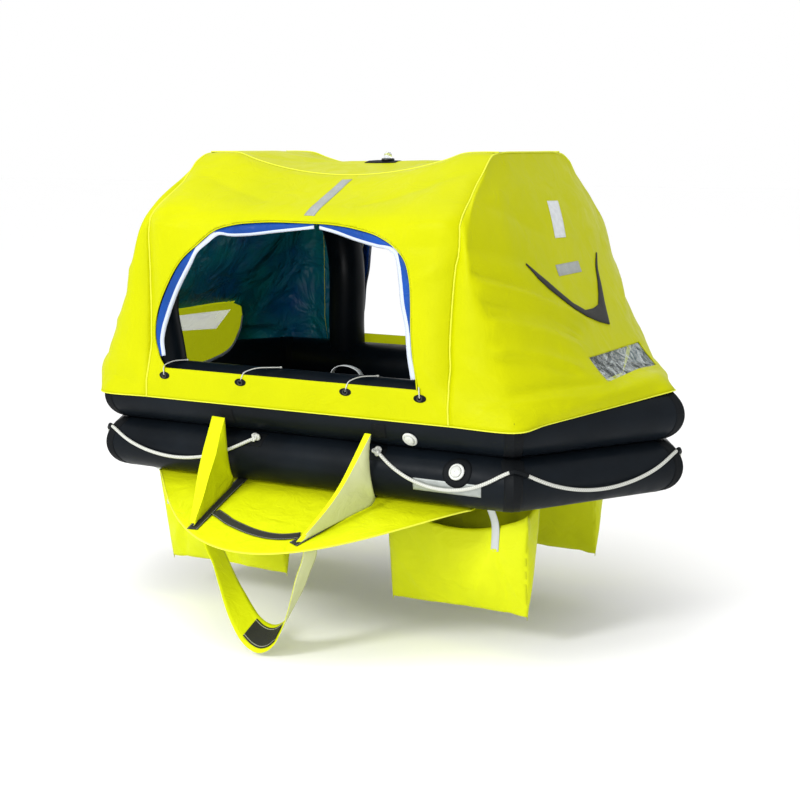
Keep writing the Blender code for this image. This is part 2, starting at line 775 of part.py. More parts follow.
def patch_on(name, panel, r0, r1, c0, c1, nr, nc, thick, look, lift=0.006):
    grid, nrm = panels[panel], normals[panel]
    low = np.empty((nr, nc, 3))
    top = np.empty((nr, nc, 3))
    for i, r in enumerate(np.linspace(r0, r1, nr)):
        for j, c in enumerate(np.linspace(c0, c1, nc)):
            p = on_grid(grid, r, c)
            n = on_grid(nrm, r, c)
            n = n / np.linalg.norm(n)
            low[i, j] = p + n * (lift + G)
            top[i, j] = p + n * (lift + G + thick)
    return shell(name, top, low, look)


def spot(panel, y, z, lift=0.0):
    """The point of an end panel at y and z, moved outward by lift."""
    grid, nrm = panels[panel], normals[panel]
    a, b = grid.shape[:2]
    flat = np.hypot(grid[..., 1] - y, grid[..., 2] - z)
    i, j = np.unravel_index(np.argmin(flat), flat.shape)
    r, c = i / (a - 1), j / (b - 1)
    for _ in range(12):
        p = on_grid(grid, r, c)
        e = 0.002
        dr = (on_grid(grid, min(r + e, 1.0), c) - on_grid(grid, max(r - e, 0.0), c)) / (2 * e)
        dc = (on_grid(grid, r, min(c + e, 1.0)) - on_grid(grid, r, max(c - e, 0.0))) / (2 * e)
        m = np.array([[dr[1], dc[1]], [dr[2], dc[2]]])
        step = np.linalg.solve(m, np.array([y - p[1], z - p[2]]))
        r = min(max(r + 0.8 * step[0], 0.0), 1.0)
        c = min(max(c + 0.8 * step[1], 0.0), 1.0)
    n = on_grid(nrm, r, c)
    return on_grid(grid, r, c) + n / np.linalg.norm(n) * lift


def patch_yz(name, panel, left, right, thick, look, nr, nc, lift=0.006):
    """A patch between a left and a right border, each a line of (y, z) points from its top down."""
    top = np.empty((nr, nc, 3))
    low = np.empty((nr, nc, 3))
    a = np.array(left, float)
    b = np.array(right, float)
    ka = np.linspace(0, 1, len(a))
    for i, t in enumerate(np.linspace(0, 1, nr)):
        p = np.array([np.interp(t, ka, a[:, 0]), np.interp(t, ka, a[:, 1])])
        q = np.array([np.interp(t, ka, b[:, 0]), np.interp(t, ka, b[:, 1])])
        for j, u in enumerate(np.linspace(0, 1, nc)):
            y, z = p * (1 - u) + q * u
            low[i, j] = spot(panel, y, z, lift + G)
            top[i, j] = spot(panel, y, z, lift + G + thick)
    return shell(name, top, low, look)


# Places on the ends as (y, z); the left end is the right one turned half round
LABEL = ([(-0.45, 10.64), (-0.52, 9.30)], [(0.52, 10.62), (0.48, 9.28)])
END_TAPE = ([(-1.30, 8.36), (-1.30, 7.96)], [(0.80, 8.38), (0.80, 7.98)])
GUTTER_TOP = [(-3.50, 8.50), (-3.10, 8.12), (-2.60, 7.76), (-2.05, 7.38), (-1.45, 6.98), (-0.70, 6.66), (0.05, 6.66),
              (0.70, 6.76), (1.22, 7.12), (1.75, 7.60), (2.15, 8.05), (2.66, 8.50)]
GUTTER_LOW = [(-3.54, 8.42), (-3.28, 8.00), (-2.74, 7.58), (-2.18, 7.20), (-1.56, 6.80), (-0.80, 6.46), (0.05, 6.18),
              (0.82, 6.24), (1.42, 6.86), (1.88, 7.44), (2.25, 7.98), (2.72, 8.44)]
for tag, side in (("right", 1), ("left", -1)):
    panel = "canopy_end_" + tag
    turned = [[(y * side, z) for y, z in line] for line in END_TAPE]
    patch_yz("end_tape_" + tag, panel, turned[0], turned[1], 0.015, "tape", 2, 5)
    turned = [[(y * side, z) for y, z in line] for line in (GUTTER_TOP, GUTTER_LOW)]
    patch_yz("rain_gutter_" + tag, panel, turned[0], turned[1], 0.05, "webbing", 2 * len(GUTTER_TOP) - 1, 3)
patch_yz("label_plate", "canopy_end_right", LABEL[0], LABEL[1], 0.015, "white", 4, 3)

patch_on("roof_tape_front", "canopy_front", 0.66, 0.93, 0.515, 0.548, 9, 3, 0.015, "tape")
patch_on("roof_tape_back", "canopy_back", 0.07, 0.34, 0.452, 0.485, 9, 3, 0.015, "tape")
patch_on("lamp_patch", "canopy_roof", 0.44, 0.56, 0.455, 0.545, 5, 5, 0.02, "webbing")


def disc(name, centre, axis, radii, heights, look, sides=20):
    """A turned piece: rings of the given radii at heights along its axis."""
    axis = np.array(axis, float) / np.linalg.norm(axis)
    side = np.cross(axis, (0.3, 0.9, 0.2))
    side = side / np.linalg.norm(side)
    up = np.cross(axis, side)
    loops = []
    for r, h in zip(radii, heights):
        loops.append([np.array(centre) + axis * h + r * (math.cos(a) * side + math.sin(a) * up)
                      for a in (2 * math.pi * k / sides for k in range(sides))])
    v, f = rings(loops)
    return add(name, v, f, look)


ridge_top = on_grid(roof, 0.5, 0.5)
disc("canopy_lamp", ridge_top + np.array([0, 0, 0.033]), (0, 0, 1), [0.24, 0.24, 0.22, 0.16, 0.07],
     [0.0, 0.06, 0.16, 0.25, 0.30], "white")


# The inner flap of each window, hanging over the tube
FLAP = [(-3.30, 5.75), (-2.40, 6.00), (2.40, 6.00), (3.30, 5.75), (3.45, 5.20), (3.20, 4.60), (2.45, 3.80),
        (1.20, 3.40), (0.0, 3.30), (-1.20, 3.40), (-2.45, 3.80), (-3.20, 4.60), (-3.45, 5.20)]


def plate_x(name, outline, x_top, x_low, thick, look, side):
    z1, z0 = 6.0, 3.3
    def x_at(z):
        return side * (x_low + (x_top - x_low) * (z - z0) / (z1 - z0))
    n = len(outline)
    verts = [(x_at(z), y, z) for y, z in outline] + [(x_at(z) - side * thick, y, z) for y, z in outline]
    faces = [tuple(range(n)), tuple(range(2 * n - 1, n - 1, -1))]
    faces += [(i, i + n, (i + 1) % n + n, (i + 1) % n) for i in range(n)]
    return add(name, verts, faces, look)


HOLE = [(-2.3, 5.45), (2.3, 5.45), (1.9, 4.60), (-1.9, 4.60)]
for tag, side in (("right", 1), ("left", -1)):
    flap = plate_x("window_flap_" + tag, FLAP, 9.297, 8.85, T, "yellow", side)
    cut(flap, plate_x("cutter_hole", HOLE, 9.8, 9.4, 1.2, "yellow", side))


# Ballast pockets: open bags under the raft, hanging from the floor. For each its ends along X, its bottom,
# and where its strap leaves the tube and meets the cloth; the raft is alike when it is turned half round.
POCKETS = {
    "front_right": (1, 1, 2.78, 8.38, -4.40, 7.38, 7.34),
    "front_left": (-1, 1, 2.10, 7.70, -4.20, 7.90, 7.42),
    "back_right": (1, -1, 2.10, 7.70, -4.00, 7.42, 7.34),
    "back_left": (-1, -1, 2.78, 8.38, -4.20, 7.38, 7.34),
}


def pocket(name, sx, sy, x0, x1, z_low):
    n = 9
    outer = []
    inner = []
    for k in range(n):
        s = k / (n - 1)
        x = x0 + (x1 - x0) * s
        xi = x0 + T + (x1 - x0 - 2 * T) * s
        dip = math.sin(math.pi * s)
        lip = (-4.60 + 0.10 * dip, -0.35 - 0.65 * dip)
        low = (-4.05, z_low)
        top = (-1.60, 0.06 - 2 * G)
        outer.append([(x, lip[0], lip[1]), (x, low[0], low[1]), (x, top[0], top[1])])
        inner.append([(xi, lip[0] + T, lip[1] + 0.001), (xi, low[0] + 0.2 * T, low[1] + 2.2 * T),
                      (xi, top[0] - 1.2 * T, top[1] - 0.3 * T)])
    verts = []
    for sec in outer + inner:
        verts += [(x * sx, y * sy, z) for x, y, z in sec]
    m = 3 * n
    faces = []
    for k in range(n - 1):
        a, b = 3 * k, 3 * (k + 1)
        faces += [(a, b, b + 1, a + 1), (a + 1, b + 1, b + 2, a + 2)]
        faces += [(m + a + 1, m + b + 1, m + b, m + a), (m + a + 2, m + b + 2, m + b + 1, m + a + 1)]
        faces += [(a, b, m + b, m + a), (a + 2, b + 2, m + b + 2, m + a + 2)]
    e = 3 * (n - 1)
    faces += [(0, 1, 2), (e + 2, e + 1, e), (m + 2, m + 1, m), (m + e, m + e + 1, m + e + 2)]
    faces += [(0, 2, m + 2, m), (e, e + 2, m + e + 2, m + e)]
    ob = add(name, verts, faces, "yellow")
    return ob


def strip(name, centres, across, lift, thick, look):
    """A flat band: centre points, a half-width vector each, and its thickness along its own normal."""
    c = np.array(centres, float)
    a = np.array(across, float)
    d = np.gradient(c, axis=0)
    n = np.cross(d, a)
    n = n / np.linalg.norm(n, axis=1, keepdims=True)
    if n[0] @ np.array(lift[1]) < 0:
        n = -n
    top = np.stack([c - a + n * (lift[0] + thick), c + a + n * (lift[0] + thick)], axis=1)
    low = np.stack([c - a + n * lift[0], c + a + n * lift[0]], axis=1)
    return shell(name, top, low, look)


for tag, (sx, sy, x0, x1, z_low, strap_top, strap_low) in POCKETS.items():
    pocket("ballast_pocket_" + tag, sx, sy, x0, x1, z_low)
    s = (strap_low - x0) / (x1 - x0)
    dip = math.sin(math.pi * s)
    ly, lz = -4.60 + 0.10 * dip, -0.35 - 0.65 * dip
    ty = ly + (-4.05 - ly) * ((lz + 1.75) / (lz - z_low))
    line = [(strap_top, -5.15, -0.045), (strap_low + 0.02, ly - 0.03, lz + 0.05), (strap_low, ty, -1.75)]
    line = [(x * sx, y * sy, z) for x, y, z in along(line, 0.4)]
    strip("pocket_strap_" + tag, line, [(0.17, 0, 0)] * len(line), (0.006, (0, -sy, 0.4)), 0.02, "white")


# Boarding ramp: a half-moon sheet under the front tube
RAMP_X = 7.0


def ramp_edge(x):
    k = max(0.0, 1.0 - (x / RAMP_X) ** 2)
    return -5.75 - 4.60 * k ** 1.15, -0.05 - 1.38 * k ** 1.3


def ramp_z(x, y):
    ye, ze = ramp_edge(x)
    s = min(max((-5.45 - y) / (-5.45 - ye), 0.0), 1.0)
    return 0.006 + (ze - 0.006) * s ** 1.12


cols = np.linspace(-1, 1, 29)
top = np.empty((9, 29, 3))
for j, w in enumerate(cols):
    x = RAMP_X * w
    ye, ze = ramp_edge(x)
    for i, s in enumerate(np.linspace(0, 1, 9)):
        y = -5.45 + (ye + 5.45) * s
        top[i, j] = (x, y, ramp_z(x, y))
low = top - np.array([0, 0, T])
shell("boarding_ramp", top, low, "yellow")


def ramp_strip(name, line, half, look):
    c = np.array([(x, y, 0.0) for x, y in along([(*p, 0.0) for p in line], 0.25)[:, :2]])
    d = np.gradient(c, axis=0)
    d = d / np.linalg.norm(d, axis=1, keepdims=True)
    a = np.stack([-d[:, 1], d[:, 0], 0 * d[:, 0]], axis=1) * half
    grids = []
    for lift in (0.026, 0.009):
        g = np.empty((len(c), 3, 3))
        for k, w in enumerate((-1, 0, 1)):
            p = c + a * w
            for i in range(len(c)):
                g[i, k] = (p[i, 0], p[i, 1], ramp_z(p[i, 0], p[i, 1]) + lift)
        grids.append(g)
    return shell(name, grids[0], grids[1], look)


# Each gusset lies in a plane that leans a little; its band runs along the gusset's foot
GUSSET_PLANES = {"left": (-3.481, -0.0644, -0.1229), "right": (3.490, 0.1339, 0.2283)}


def gusset_x(tag, y, z):
    a, b, c = GUSSET_PLANES[tag]
    return a + b * y + c * z


def foot_x(tag, y):
    x = gusset_x(tag, y, -0.3)
    for _ in range(12):
        x = gusset_x(tag, y, ramp_z(x, y))
    return x


for tag in ("left", "right"):
    ramp_strip("ramp_band_" + tag, [(foot_x(tag, y), y) for y in np.linspace(-5.95, -9.42, 9)], 0.20, "webbing")
curve = [(-2.34, -8.30), (-1.95, -8.48), (-1.56, -8.66), (-0.85, -8.91), (-0.26, -9.08), (0.27, -9.17),
         (0.80, -9.19), (1.24, -9.11), (1.48, -9.01), (1.66, -8.93)]
ramp_strip("ramp_band_curved", curve, 0.19, "webbing")


# Gussets that hold the ramp up
def gusset(name, tag):
    outline = [(-6.72, 2.50), (-6.82, 2.0), (-6.82, 0.60), (-6.52, 0.22), (-6.30, 0.08)]
    foot = [(y, ramp_z(foot_x(tag, y), y) + 0.034) for y in np.linspace(-6.38, -9.38, 9)]
    outline += foot + [(-9.40, foot[-1][1] + 0.10), (-6.98, 2.50)]
    half = 0.018
    n = len(outline)
    verts = [(gusset_x(tag, y, z) - half, y, z) for y, z in outline]
    verts += [(gusset_x(tag, y, z) + half, y, z) for y, z in outline]
    faces = [tuple(range(n)), tuple(range(2 * n - 1, n - 1, -1))]
    faces += [(i, i + n, (i + 1) % n + n, (i + 1) % n) for i in range(n)]
    return add(name, verts, faces, "yellow")


def tube_patch(name, i, s0, s1, deg0, deg1, centre_z, lift, thick, look, ns=3, na=5):
    """A patch on a tube: along side i, between two angles up from the tube's outermost line."""
    grids = []
    for r in (1.0 + G + lift + thick, 1.0 + G + lift):
        g = np.empty((ns, na, 3))
        for a, s in enumerate(np.linspace(s0, s1, ns)):
            for b, deg in enumerate(np.linspace(deg0, deg1, na)):
                t = math.radians(deg)
                g[a, b] = on_side(i, s, r * math.cos(t), centre_z + r * math.sin(t))
        grids.append(g)
    return shell(name, grids[0], grids[1], look)


def front_share(x):
    return (x + CORNER_X) / (2 * CORNER_X)


for tag in ("left", "right"):
    gusset("ramp_gusset_" + tag, tag)
    x = gusset_x(tag, -6.72, 2.50)
    tube_patch("gusset_tab_" + tag, 5, front_share(x - 0.25), front_share(x + 0.25), -8.0, -36.0, TOP_Z, 0.004,
               0.05, "webbing")


# Reflective tapes round the lower tube
tube_patch("tube_tape_front", 5, front_share(4.71), front_share(7.24), 4.0, -22.0, LOW_Z, 0.004, 0.012, "tape")
tube_patch("tube_tape_back", 2, front_share(4.71), front_share(7.24), 4.0, -22.0, LOW_Z, 0.004, 0.012, "tape")


# Valves on the front of the tubes
def on_tube(x, z, centre):
    a = math.asin(z - centre)
    return (x, -CORNER_Y - (1.0 + G) * math.cos(a), centre + (1.0 + G) * math.sin(a)), (0, -math.cos(a), math.sin(a))


c, n = on_tube(4.85, 2.42, TOP_Z)
disc("relief_valve", c, n, [0.26, 0.28, 0.28, 0.20], [0.0, 0.02, 0.08, 0.12], "white")
c, n = on_tube(6.75, 1.42, LOW_Z)
disc("inflation_valve", c, n, [0.27, 0.29, 0.29, 0.21], [0.0, 0.02, 0.09, 0.13], "white")


# Handle on the sill
handle = [(0.75, -5.15, TOP_Z + 0.80), (0.82, -5.12, TOP_Z + 1.16), (1.10, -5.10, TOP_Z + 1.34),
          (1.50, -5.10, TOP_Z + 1.38), (1.90, -5.10, TOP_Z + 1.22), (2.05, -5.14, TOP_Z + 0.80)]
handle_ob = sweep("sill_handle", handle, 0.06, "white", sides=8, start_up=(0, 1, 0))
cut(handle_ob, tube_cutter("cutter_tube", 1.0 + 1.5 * G, TOP_Z))


# Boarding step: a webbing stirrup that swings under the ramp's front
STEP_AXIS = (-8.90, -1.479)     # y and z of the line it swings about
STEP_END = 0.45                 # radius of its rounded ends
STEP_F = [(-1.78, -9.42, -2.45), (-1.48, -9.45, -3.20), (-1.10, -9.45, -4.05), (-0.55, -9.45, -5.00),
          (0.18, -9.45, -5.38), (0.88, -9.45, -5.00), (1.38, -9.45, -4.05), (1.64, -9.45, -3.20),
          (1.84, -9.42, -2.45)]
STEP_B = [(-1.76, -8.38, -2.45), (-1.42, -8.38, -3.05), (-1.00, -8.38, -3.65), (-0.42, -8.38, -4.38),
          (0.15, -8.38, -4.62), (0.68, -8.38, -4.38), (1.18, -8.38, -3.65), (1.52, -8.38, -3.05),
          (1.78, -8.38, -2.45)]


def step_end(x):
    """Front and back edge points of one rounded end, from its tip down to the swing line."""
    out = []
    for a in (74, 52, 28, 0):
        t = math.radians(a)
        y = STEP_END * math.cos(t)
        z = STEP_AXIS[1] + STEP_END * math.sin(t)
        out.append(((x, STEP_AXIS[0] - y, z), (x, STEP_AXIS[0] + y, z)))
    return out


def step_edges(lift, t0=0.0, t1=1.0, n=17, ends=True):
    """Points of the loop by front edge, middle and back edge, moved inward by lift."""
    knots = np.linspace(0, 1, len(STEP_F))
    at = np.linspace(t0, t1, n)
    f = [tuple(p) for p in smooth(knots, STEP_F, at)]
    b = [tuple(p) for p in smooth(knots, STEP_B, at)]
    if ends:
        left = step_end(-2.12)
        right = step_end(2.14)[::-1]
        f = [p[0] for p in left] + f + [p[0] for p in right]
        b = [p[1] for p in left] + b + [p[1] for p in right]
    f = np.array(f)
    b = np.array(b)
    g = np.stack([f, (f + b) / 2, b], axis=1)
    nrm = grid_normals(g)
    inside = np.array([0.15, -8.9, -2.5])
    for i in range(len(g)):
        if nrm[i, 1] @ (inside - g[i, 1]) < 0:
            nrm[i] *= -1
    nrm[:, 0] = nrm[:, 1]
    nrm[:, 2] = nrm[:, 1]
    return g + nrm * lift


shell("step_loop", step_edges(0.0), step_edges(-T), "yellow")
shell("step_grip", step_edges(0.04, 0.375, 0.625, 5, False), step_edges(0.008, 0.375, 0.625, 5, False), "webbing")


# Life line: swags of rope round the lower tube
ROPE_R = 0.065


def swag(i, s0, s1, sag, n, top=0.80):
    """Hangs from near the tube's top; below the tube's widest line the rope hangs clear."""
    out = []
    for k in range(n):
        u = k / (n - 1)
        z = LOW_Z + top - sag * 4 * u * (1 - u)
        off = 1.0 + ROPE_R + (0.035 if k % (n - 1) else 0.009)
        h = (z - LOW_Z) / off
        d = off * math.sqrt(max(0.0, 1 - h * h)) if h > 0 else off
        out.append(on_side(i, s0 + (s1 - s0) * u, d, z))
    return out


def half_line(start):
    first = swag(5, front_share(start), 1.0, 1.05, 13)
    return first + swag(0, 0.0, 1.0, 1.15, 15)[1:] + swag(1, 0.0, 1.0, 1.15, 15)[1:] + swag(2, 0.0, 0.495, 1.05, 15)[1:]


right = half_line(3.25)
left_line = mirror_points(np.array(half_line(1.80)), 0)
sweep("life_line_right", right, ROPE_R, "white", sides=6)
sweep("life_line_left", [tuple(p) for p in left_line], ROPE_R, "white", sides=6)


# Gas bottle strapped under the floor
BOTTLE_R = 0.55
zc = 0.06 - 2 * G - BOTTLE_R
disc("gas_bottle", (-2.1, 0.6, zc), (1, 0, 0),
     [0.20, 0.40, 0.51, BOTTLE_R, BOTTLE_R, 0.51, 0.38, 0.20, 0.14, 0.14, 0.20, 0.20],
     [0.0, 0.06, 0.18, 0.36, 3.60, 3.80, 3.95, 4.05, 4.08, 4.20, 4.22, 4.50], "steel", sides=24)
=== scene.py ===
# %% [markdown]
# # A life raft, dressed in Blender
# The frame holds the raft's plain solids. This lesson makes the cloth, rubber and rope that replace
# them, one piece at a time. The first cell loads the frame.

# %% Load the frame
import math
import bmesh
import bpy
import numpy as np
from mathutils import Matrix, Vector, noise
from mathutils.bvhtree import BVHTree


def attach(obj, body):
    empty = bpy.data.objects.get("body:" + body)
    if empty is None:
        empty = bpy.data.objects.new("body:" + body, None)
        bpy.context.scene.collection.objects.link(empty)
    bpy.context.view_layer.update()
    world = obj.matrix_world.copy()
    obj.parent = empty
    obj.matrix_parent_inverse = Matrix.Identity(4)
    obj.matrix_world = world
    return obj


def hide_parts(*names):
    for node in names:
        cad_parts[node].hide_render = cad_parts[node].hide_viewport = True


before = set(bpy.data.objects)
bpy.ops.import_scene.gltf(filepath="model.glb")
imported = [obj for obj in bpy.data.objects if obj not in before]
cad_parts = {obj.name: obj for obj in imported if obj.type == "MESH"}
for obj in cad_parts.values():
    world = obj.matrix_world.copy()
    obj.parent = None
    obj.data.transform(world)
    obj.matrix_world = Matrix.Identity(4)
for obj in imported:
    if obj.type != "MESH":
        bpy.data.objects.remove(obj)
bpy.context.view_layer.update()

# %% [markdown]
# Everything on a raft follows from its tube, so lengths are given in tube radii, as in the part's own
# source, and one function turns them into metres. X runs along the long side, the boarding side faces
# -Y, and the origin is on the waterline of the empty raft.

# %% Units
R = 0.100         # metres, radius of both buoyancy tubes
DRAFT = 0.045     # metres, lower tube's bottom to the waterline
LOW_Z, TOP_Z = 1.0, 2.953    # the middles of the two tubes
SQUASH = 0.025    # each tube is flattened by this where they are bonded together
CREST = 0.44      # the upper tube's front side is this much taller over the sill
T = 0.04          # canopy panels stand this far off the tubes
CORNER_X, SIDE_Y, TIP_X = 8.40, 5.61, 11.595    # the plan: its corners, long sides and pointed ends


def metres(points):
    return np.asarray(points, float) * R - np.array([0.0, 0.0, DRAFT])


def spot_m(x, y, z):
    return Vector(metres((x, y, z)))


print("one tube radius is", R, "m")

# %% [markdown]
# The camera stands at the right front, a little above the tubes, as in the photograph: 29.5 degrees
# round, 9.5 degrees up and 6.1 m away, with a long lens, so that the far tube tip doesn't shrink much.
# It comes first because cords are judged by what it sees. In Blender a mesh, a light or a camera is
# data, and an object places it in the scene, which one small function does for all of them.

# %% Camera
def placed(name, data):
    thing = bpy.data.objects.new(name, data)
    bpy.context.scene.collection.objects.link(thing)
    return thing


AIM = Vector((0.0774, 0.0, 0.2089))
AZ, EL, DIST = math.radians(29.507), math.radians(9.483), 6.143
SENSOR, FOCAL_PX, PICTURE_PX = 36.0, 1520.9, 800.0    # mm, and pixels of the photograph
back_way = Vector((math.sin(AZ) * math.cos(EL), -math.cos(AZ) * math.cos(EL), math.sin(EL)))
eye = bpy.data.cameras.new("photo_camera")
eye.sensor_width = SENSOR
eye.lens = FOCAL_PX * SENSOR / PICTURE_PX
eye.clip_start = 0.1
camera = placed("photo_camera", eye)
camera.location = AIM + back_way * DIST
camera.rotation_euler = back_way.to_track_quat("Z", "Y").to_euler()
bpy.context.scene.camera = camera
bpy.context.scene.view_settings.view_transform = "Standard"    # keeps the yellow as strong as it is
print("lens", round(eye.lens, 1), "mm at", [round(v, 3) for v in camera.location])

# %% [markdown]
# Materials come from two small functions. The first turns an sRGB hex value, as a colour picker gives
# it, into the linear numbers that Blender's shaders work in. The second adds one node, with its settings
# and links, so that a whole material reads as a short list.

# %% Colour and node helpers
def srgb(code):
    out = []
    for k in (1, 3, 5):
        c = int(code[k:k + 2], 16) / 255.0
        out.append(c / 12.92 if c <= 0.04045 else ((c + 0.055) / 1.055) ** 2.4)
    return (*out, 1.0)


def node(look, kind, inputs=None, **settings):
    made = look.node_tree.nodes.new(kind)
    for name, value in settings.items():
        setattr(made, name, value)
    for name, value in (inputs or {}).items():
        if isinstance(value, bpy.types.NodeSocket):
            look.node_tree.links.new(value, made.inputs[name])
        else:
            made.inputs[name].default_value = value
    return made


def start_look(name, colour, rough, **constants):
    look = bpy.data.materials.new(name)
    look.use_nodes = True
    skin = look.node_tree.nodes["Principled BSDF"]
    skin.inputs["Base Color"].default_value = srgb(colour)
    skin.inputs["Roughness"].default_value = rough
    for key, value in constants.items():
        skin.inputs[key.replace("_", " ")].default_value = value
    return look, skin


def join(look, a, b):
    look.node_tree.links.new(a, b)


def ramp(look, fac, *stops):
    made = node(look, "ShaderNodeValToRGB", {"Fac": fac})
    bar = made.color_ramp
    while len(bar.elements) < len(stops):
        bar.elements.new(0.5)
    for e, (place, colour) in zip(bar.elements, stops):
        e.position = place
        e.color = srgb(colour) if isinstance(colour, str) else (colour, colour, colour, 1.0)
    return made.outputs["Color"]


print("helpers ready: srgb, node, start_look, ramp")

# %% [markdown]
# The canopy, ramp and pockets are nylon cloth with a polyurethane coat, dyed a safety yellow. The coat
# makes it a little slick, the threads give it a fine grain, and handling leaves soft creases that are
# too shallow to model. A real thread is 0.3 mm, which no camera at this distance sees, so the grain is
# drawn at 3 mm. One recipe makes every coated cloth of the raft, in its own colours.

# %% Coated cloth
def coated_cloth(name, light, dark, rough=0.48, crinkle=0.5, shine=0.16, size=1.0, deep=0.004):
    look, skin = start_look(name, light, rough, Specular_IOR_Level=shine)
    place = node(look, "ShaderNodeTexCoord").outputs["Object"]
    tone = node(look, "ShaderNodeTexNoise", {"Vector": place, "Scale": 3.2, "Detail": 5.0, "Roughness": 0.6})
    colour = ramp(look, tone.outputs["Fac"], (0.30, dark), (0.72, light))
    join(look, colour, skin.inputs["Base Color"])
    # soft creases a few centimetres long, drawn out by warping the noise with itself
    bend = node(look, "ShaderNodeTexNoise", {"Vector": place, "Scale": 4.0 / size, "Detail": 2.0})
    warped = node(look, "ShaderNodeMix", {0: 0.22, 4: place, 5: bend.outputs["Color"]}, data_type="VECTOR")
    folds = node(look, "ShaderNodeTexNoise", {
        "Vector": warped.outputs[1], "Scale": 17.0 / size, "Detail": 3.5, "Roughness": 0.52, "Distortion": 0.6})
    rub = ramp(look, folds.outputs["Fac"], (0.35, max(rough - 0.08, 0.05)), (0.75, min(rough + 0.10, 1.0)))
    join(look, rub, skin.inputs["Roughness"])
    # a wave texture's bands are 314 mm apart at scale 1, so 105 draws a thread every 3 mm
    weave_x = node(look, "ShaderNodeTexWave", {"Vector": place, "Scale": 105.0}, bands_direction="DIAGONAL")
    weave_z = node(look, "ShaderNodeTexWave", {"Vector": place, "Scale": 105.0}, bands_direction="Z")
    weave = node(look, "ShaderNodeMath", {0: weave_x.outputs["Fac"], 1: weave_z.outputs["Fac"]},
                 operation="MULTIPLY")
    b1 = node(look, "ShaderNodeBump", {"Height": folds.outputs["Fac"], "Strength": crinkle, "Distance": deep})
    b2 = node(look, "ShaderNodeBump", {
        "Height": weave.outputs["Value"], "Strength": 0.12, "Distance": 0.0008, "Normal": b1.outputs["Normal"]})
    join(look, b2.outputs["Normal"], skin.inputs["Normal"])
    return look


# the canopy is stretched and dull, so the eye sees an even, strong yellow
canopy_nylon = coated_cloth("coated_nylon_safety_yellow", "#B6B900", "#AEB300", deep=0.007, shine=0.06)
# the ramp hangs slack, with deeper creases; its light from above is painted in as a paler yellow
ramp_nylon_painted_lit = coated_cloth(
    "coated_nylon_ramp_yellow_painted_lit", "#D6DE12", "#CBD40A", crinkle=0.6, deep=0.010, shine=0.08)
# the lining is thin and loose, in broad folds, and its colour is painted to shimmer at random between teal and
# blue: a painted sheen
lining_nylon = coated_cloth(
    "coated_nylon_teal_lining", "#12948A", "#06508F", rough=0.42, crinkle=1.0, shine=0.30, size=2.2, deep=0.075)
curtain_nylon = coated_cloth(
    "coated_nylon_door_blue", "#08469C", "#053474", rough=0.5, crinkle=1.0, deep=0.012)
# the uncoated side of the yellow cloth: pale, and duller than the coat
reverse_nylon = coated_cloth(
    "coated_nylon_pale_reverse", "#CCD0A2", "#C0C592", rough=0.6, crinkle=0.6, deep=0.008)
# the pockets hang in the light from the front, which is painted in as a paler yellow than the canopy's
pocket_nylon_painted_lit = coated_cloth(
    "coated_nylon_pocket_yellow_painted_lit", "#CBD20A", "#BEC800", rough=0.5, crinkle=0.6, deep=0.010)
# the single cloth inside the raft would be dark, so the daylight through it is painted in as its own glow
painted_glow_nylon = coated_cloth(
    "coated_nylon_yellow_painted_glow", "#C4CA06", "#B8C000", crinkle=0.7, deep=0.012, shine=0.1)
glow = painted_glow_nylon.node_tree.nodes["Principled BSDF"].inputs
glow["Emission Color"].default_value = srgb("#C6CE14")
glow["Emission Strength"].default_value = 0.42
print("cloths:", [m.name for m in bpy.data.materials if m.name.startswith("coated")])

# %% [markdown]
# The tubes are neoprene coated fabric, glued up from sheets: near black with a blue cast, half glossy
# where it is stretched, and slightly grained by the cloth under the rubber. The same rubber, duller,
# makes the seam bands and patches. The colour could be one flat value, but a slow noise in colour and
# gloss gives the look of a skin that has been folded and handled.

# %% Rubber
def rubber(name, light, dark, rough):
    look, skin = start_look(name, dark, rough, Specular_IOR_Level=0.08)
    place = node(look, "ShaderNodeTexCoord").outputs["Object"]
    cloud = node(look, "ShaderNodeTexNoise", {
        "Vector": place, "Scale": 2.6, "Detail": 6.0, "Roughness": 0.62})
    join(look, ramp(look, cloud.outputs["Fac"], (0.34, dark), (0.70, light)), skin.inputs["Base Color"])
    rub = node(look, "ShaderNodeTexNoise", {"Vector": place, "Scale": 9.0, "Detail": 5.0})
    gloss = ramp(look, rub.outputs["Fac"], (0.35, rough - 0.10), (0.70, rough + 0.12))
    join(look, gloss, skin.inputs["Roughness"])
    # the base cloth's threads are about 2 mm apart, and the dents of packing a hand's width
    grain = node(look, "ShaderNodeTexNoise", {"Vector": place, "Scale": 420.0, "Detail": 2.0})
    dents = node(look, "ShaderNodeTexNoise", {
        "Vector": place, "Scale": 5.0, "Detail": 3.0, "Distortion": 0.4})
    b1 = node(look, "ShaderNodeBump", {"Height": dents.outputs["Fac"], "Strength": 0.35, "Distance": 0.006})
    b2 = node(look, "ShaderNodeBump", {
        "Height": grain.outputs["Fac"], "Strength": 0.10, "Distance": 0.0006, "Normal": b1.outputs["Normal"]})
    join(look, b2.outputs["Normal"], skin.inputs["Normal"])
    return look


tube_rubber = rubber("neoprene_coated_tube_fabric", "#10161C", "#080C10", 0.40)
patch_rubber = rubber("neoprene_patch", "#121518", "#0B0D0F", 0.6)
print("rubber:", tube_rubber.name, "and", patch_rubber.name)

# %% [markdown]
# Webbing, hems and rope are woven, so their pattern follows the piece's own UV map, whose unit is one
# metre along and from -1 to 1 across. Object coordinates would run straight through a band that bends.
# The ribs of real webbing are 2 mm apart. They are drawn at 4 mm, the finest that shows from here.

# %% Webbing, tape and rope
RIB_PITCH = 0.004              # metres
STITCH, GAP = 0.0058, 0.0022   # metres, a stitch's length and the space after it


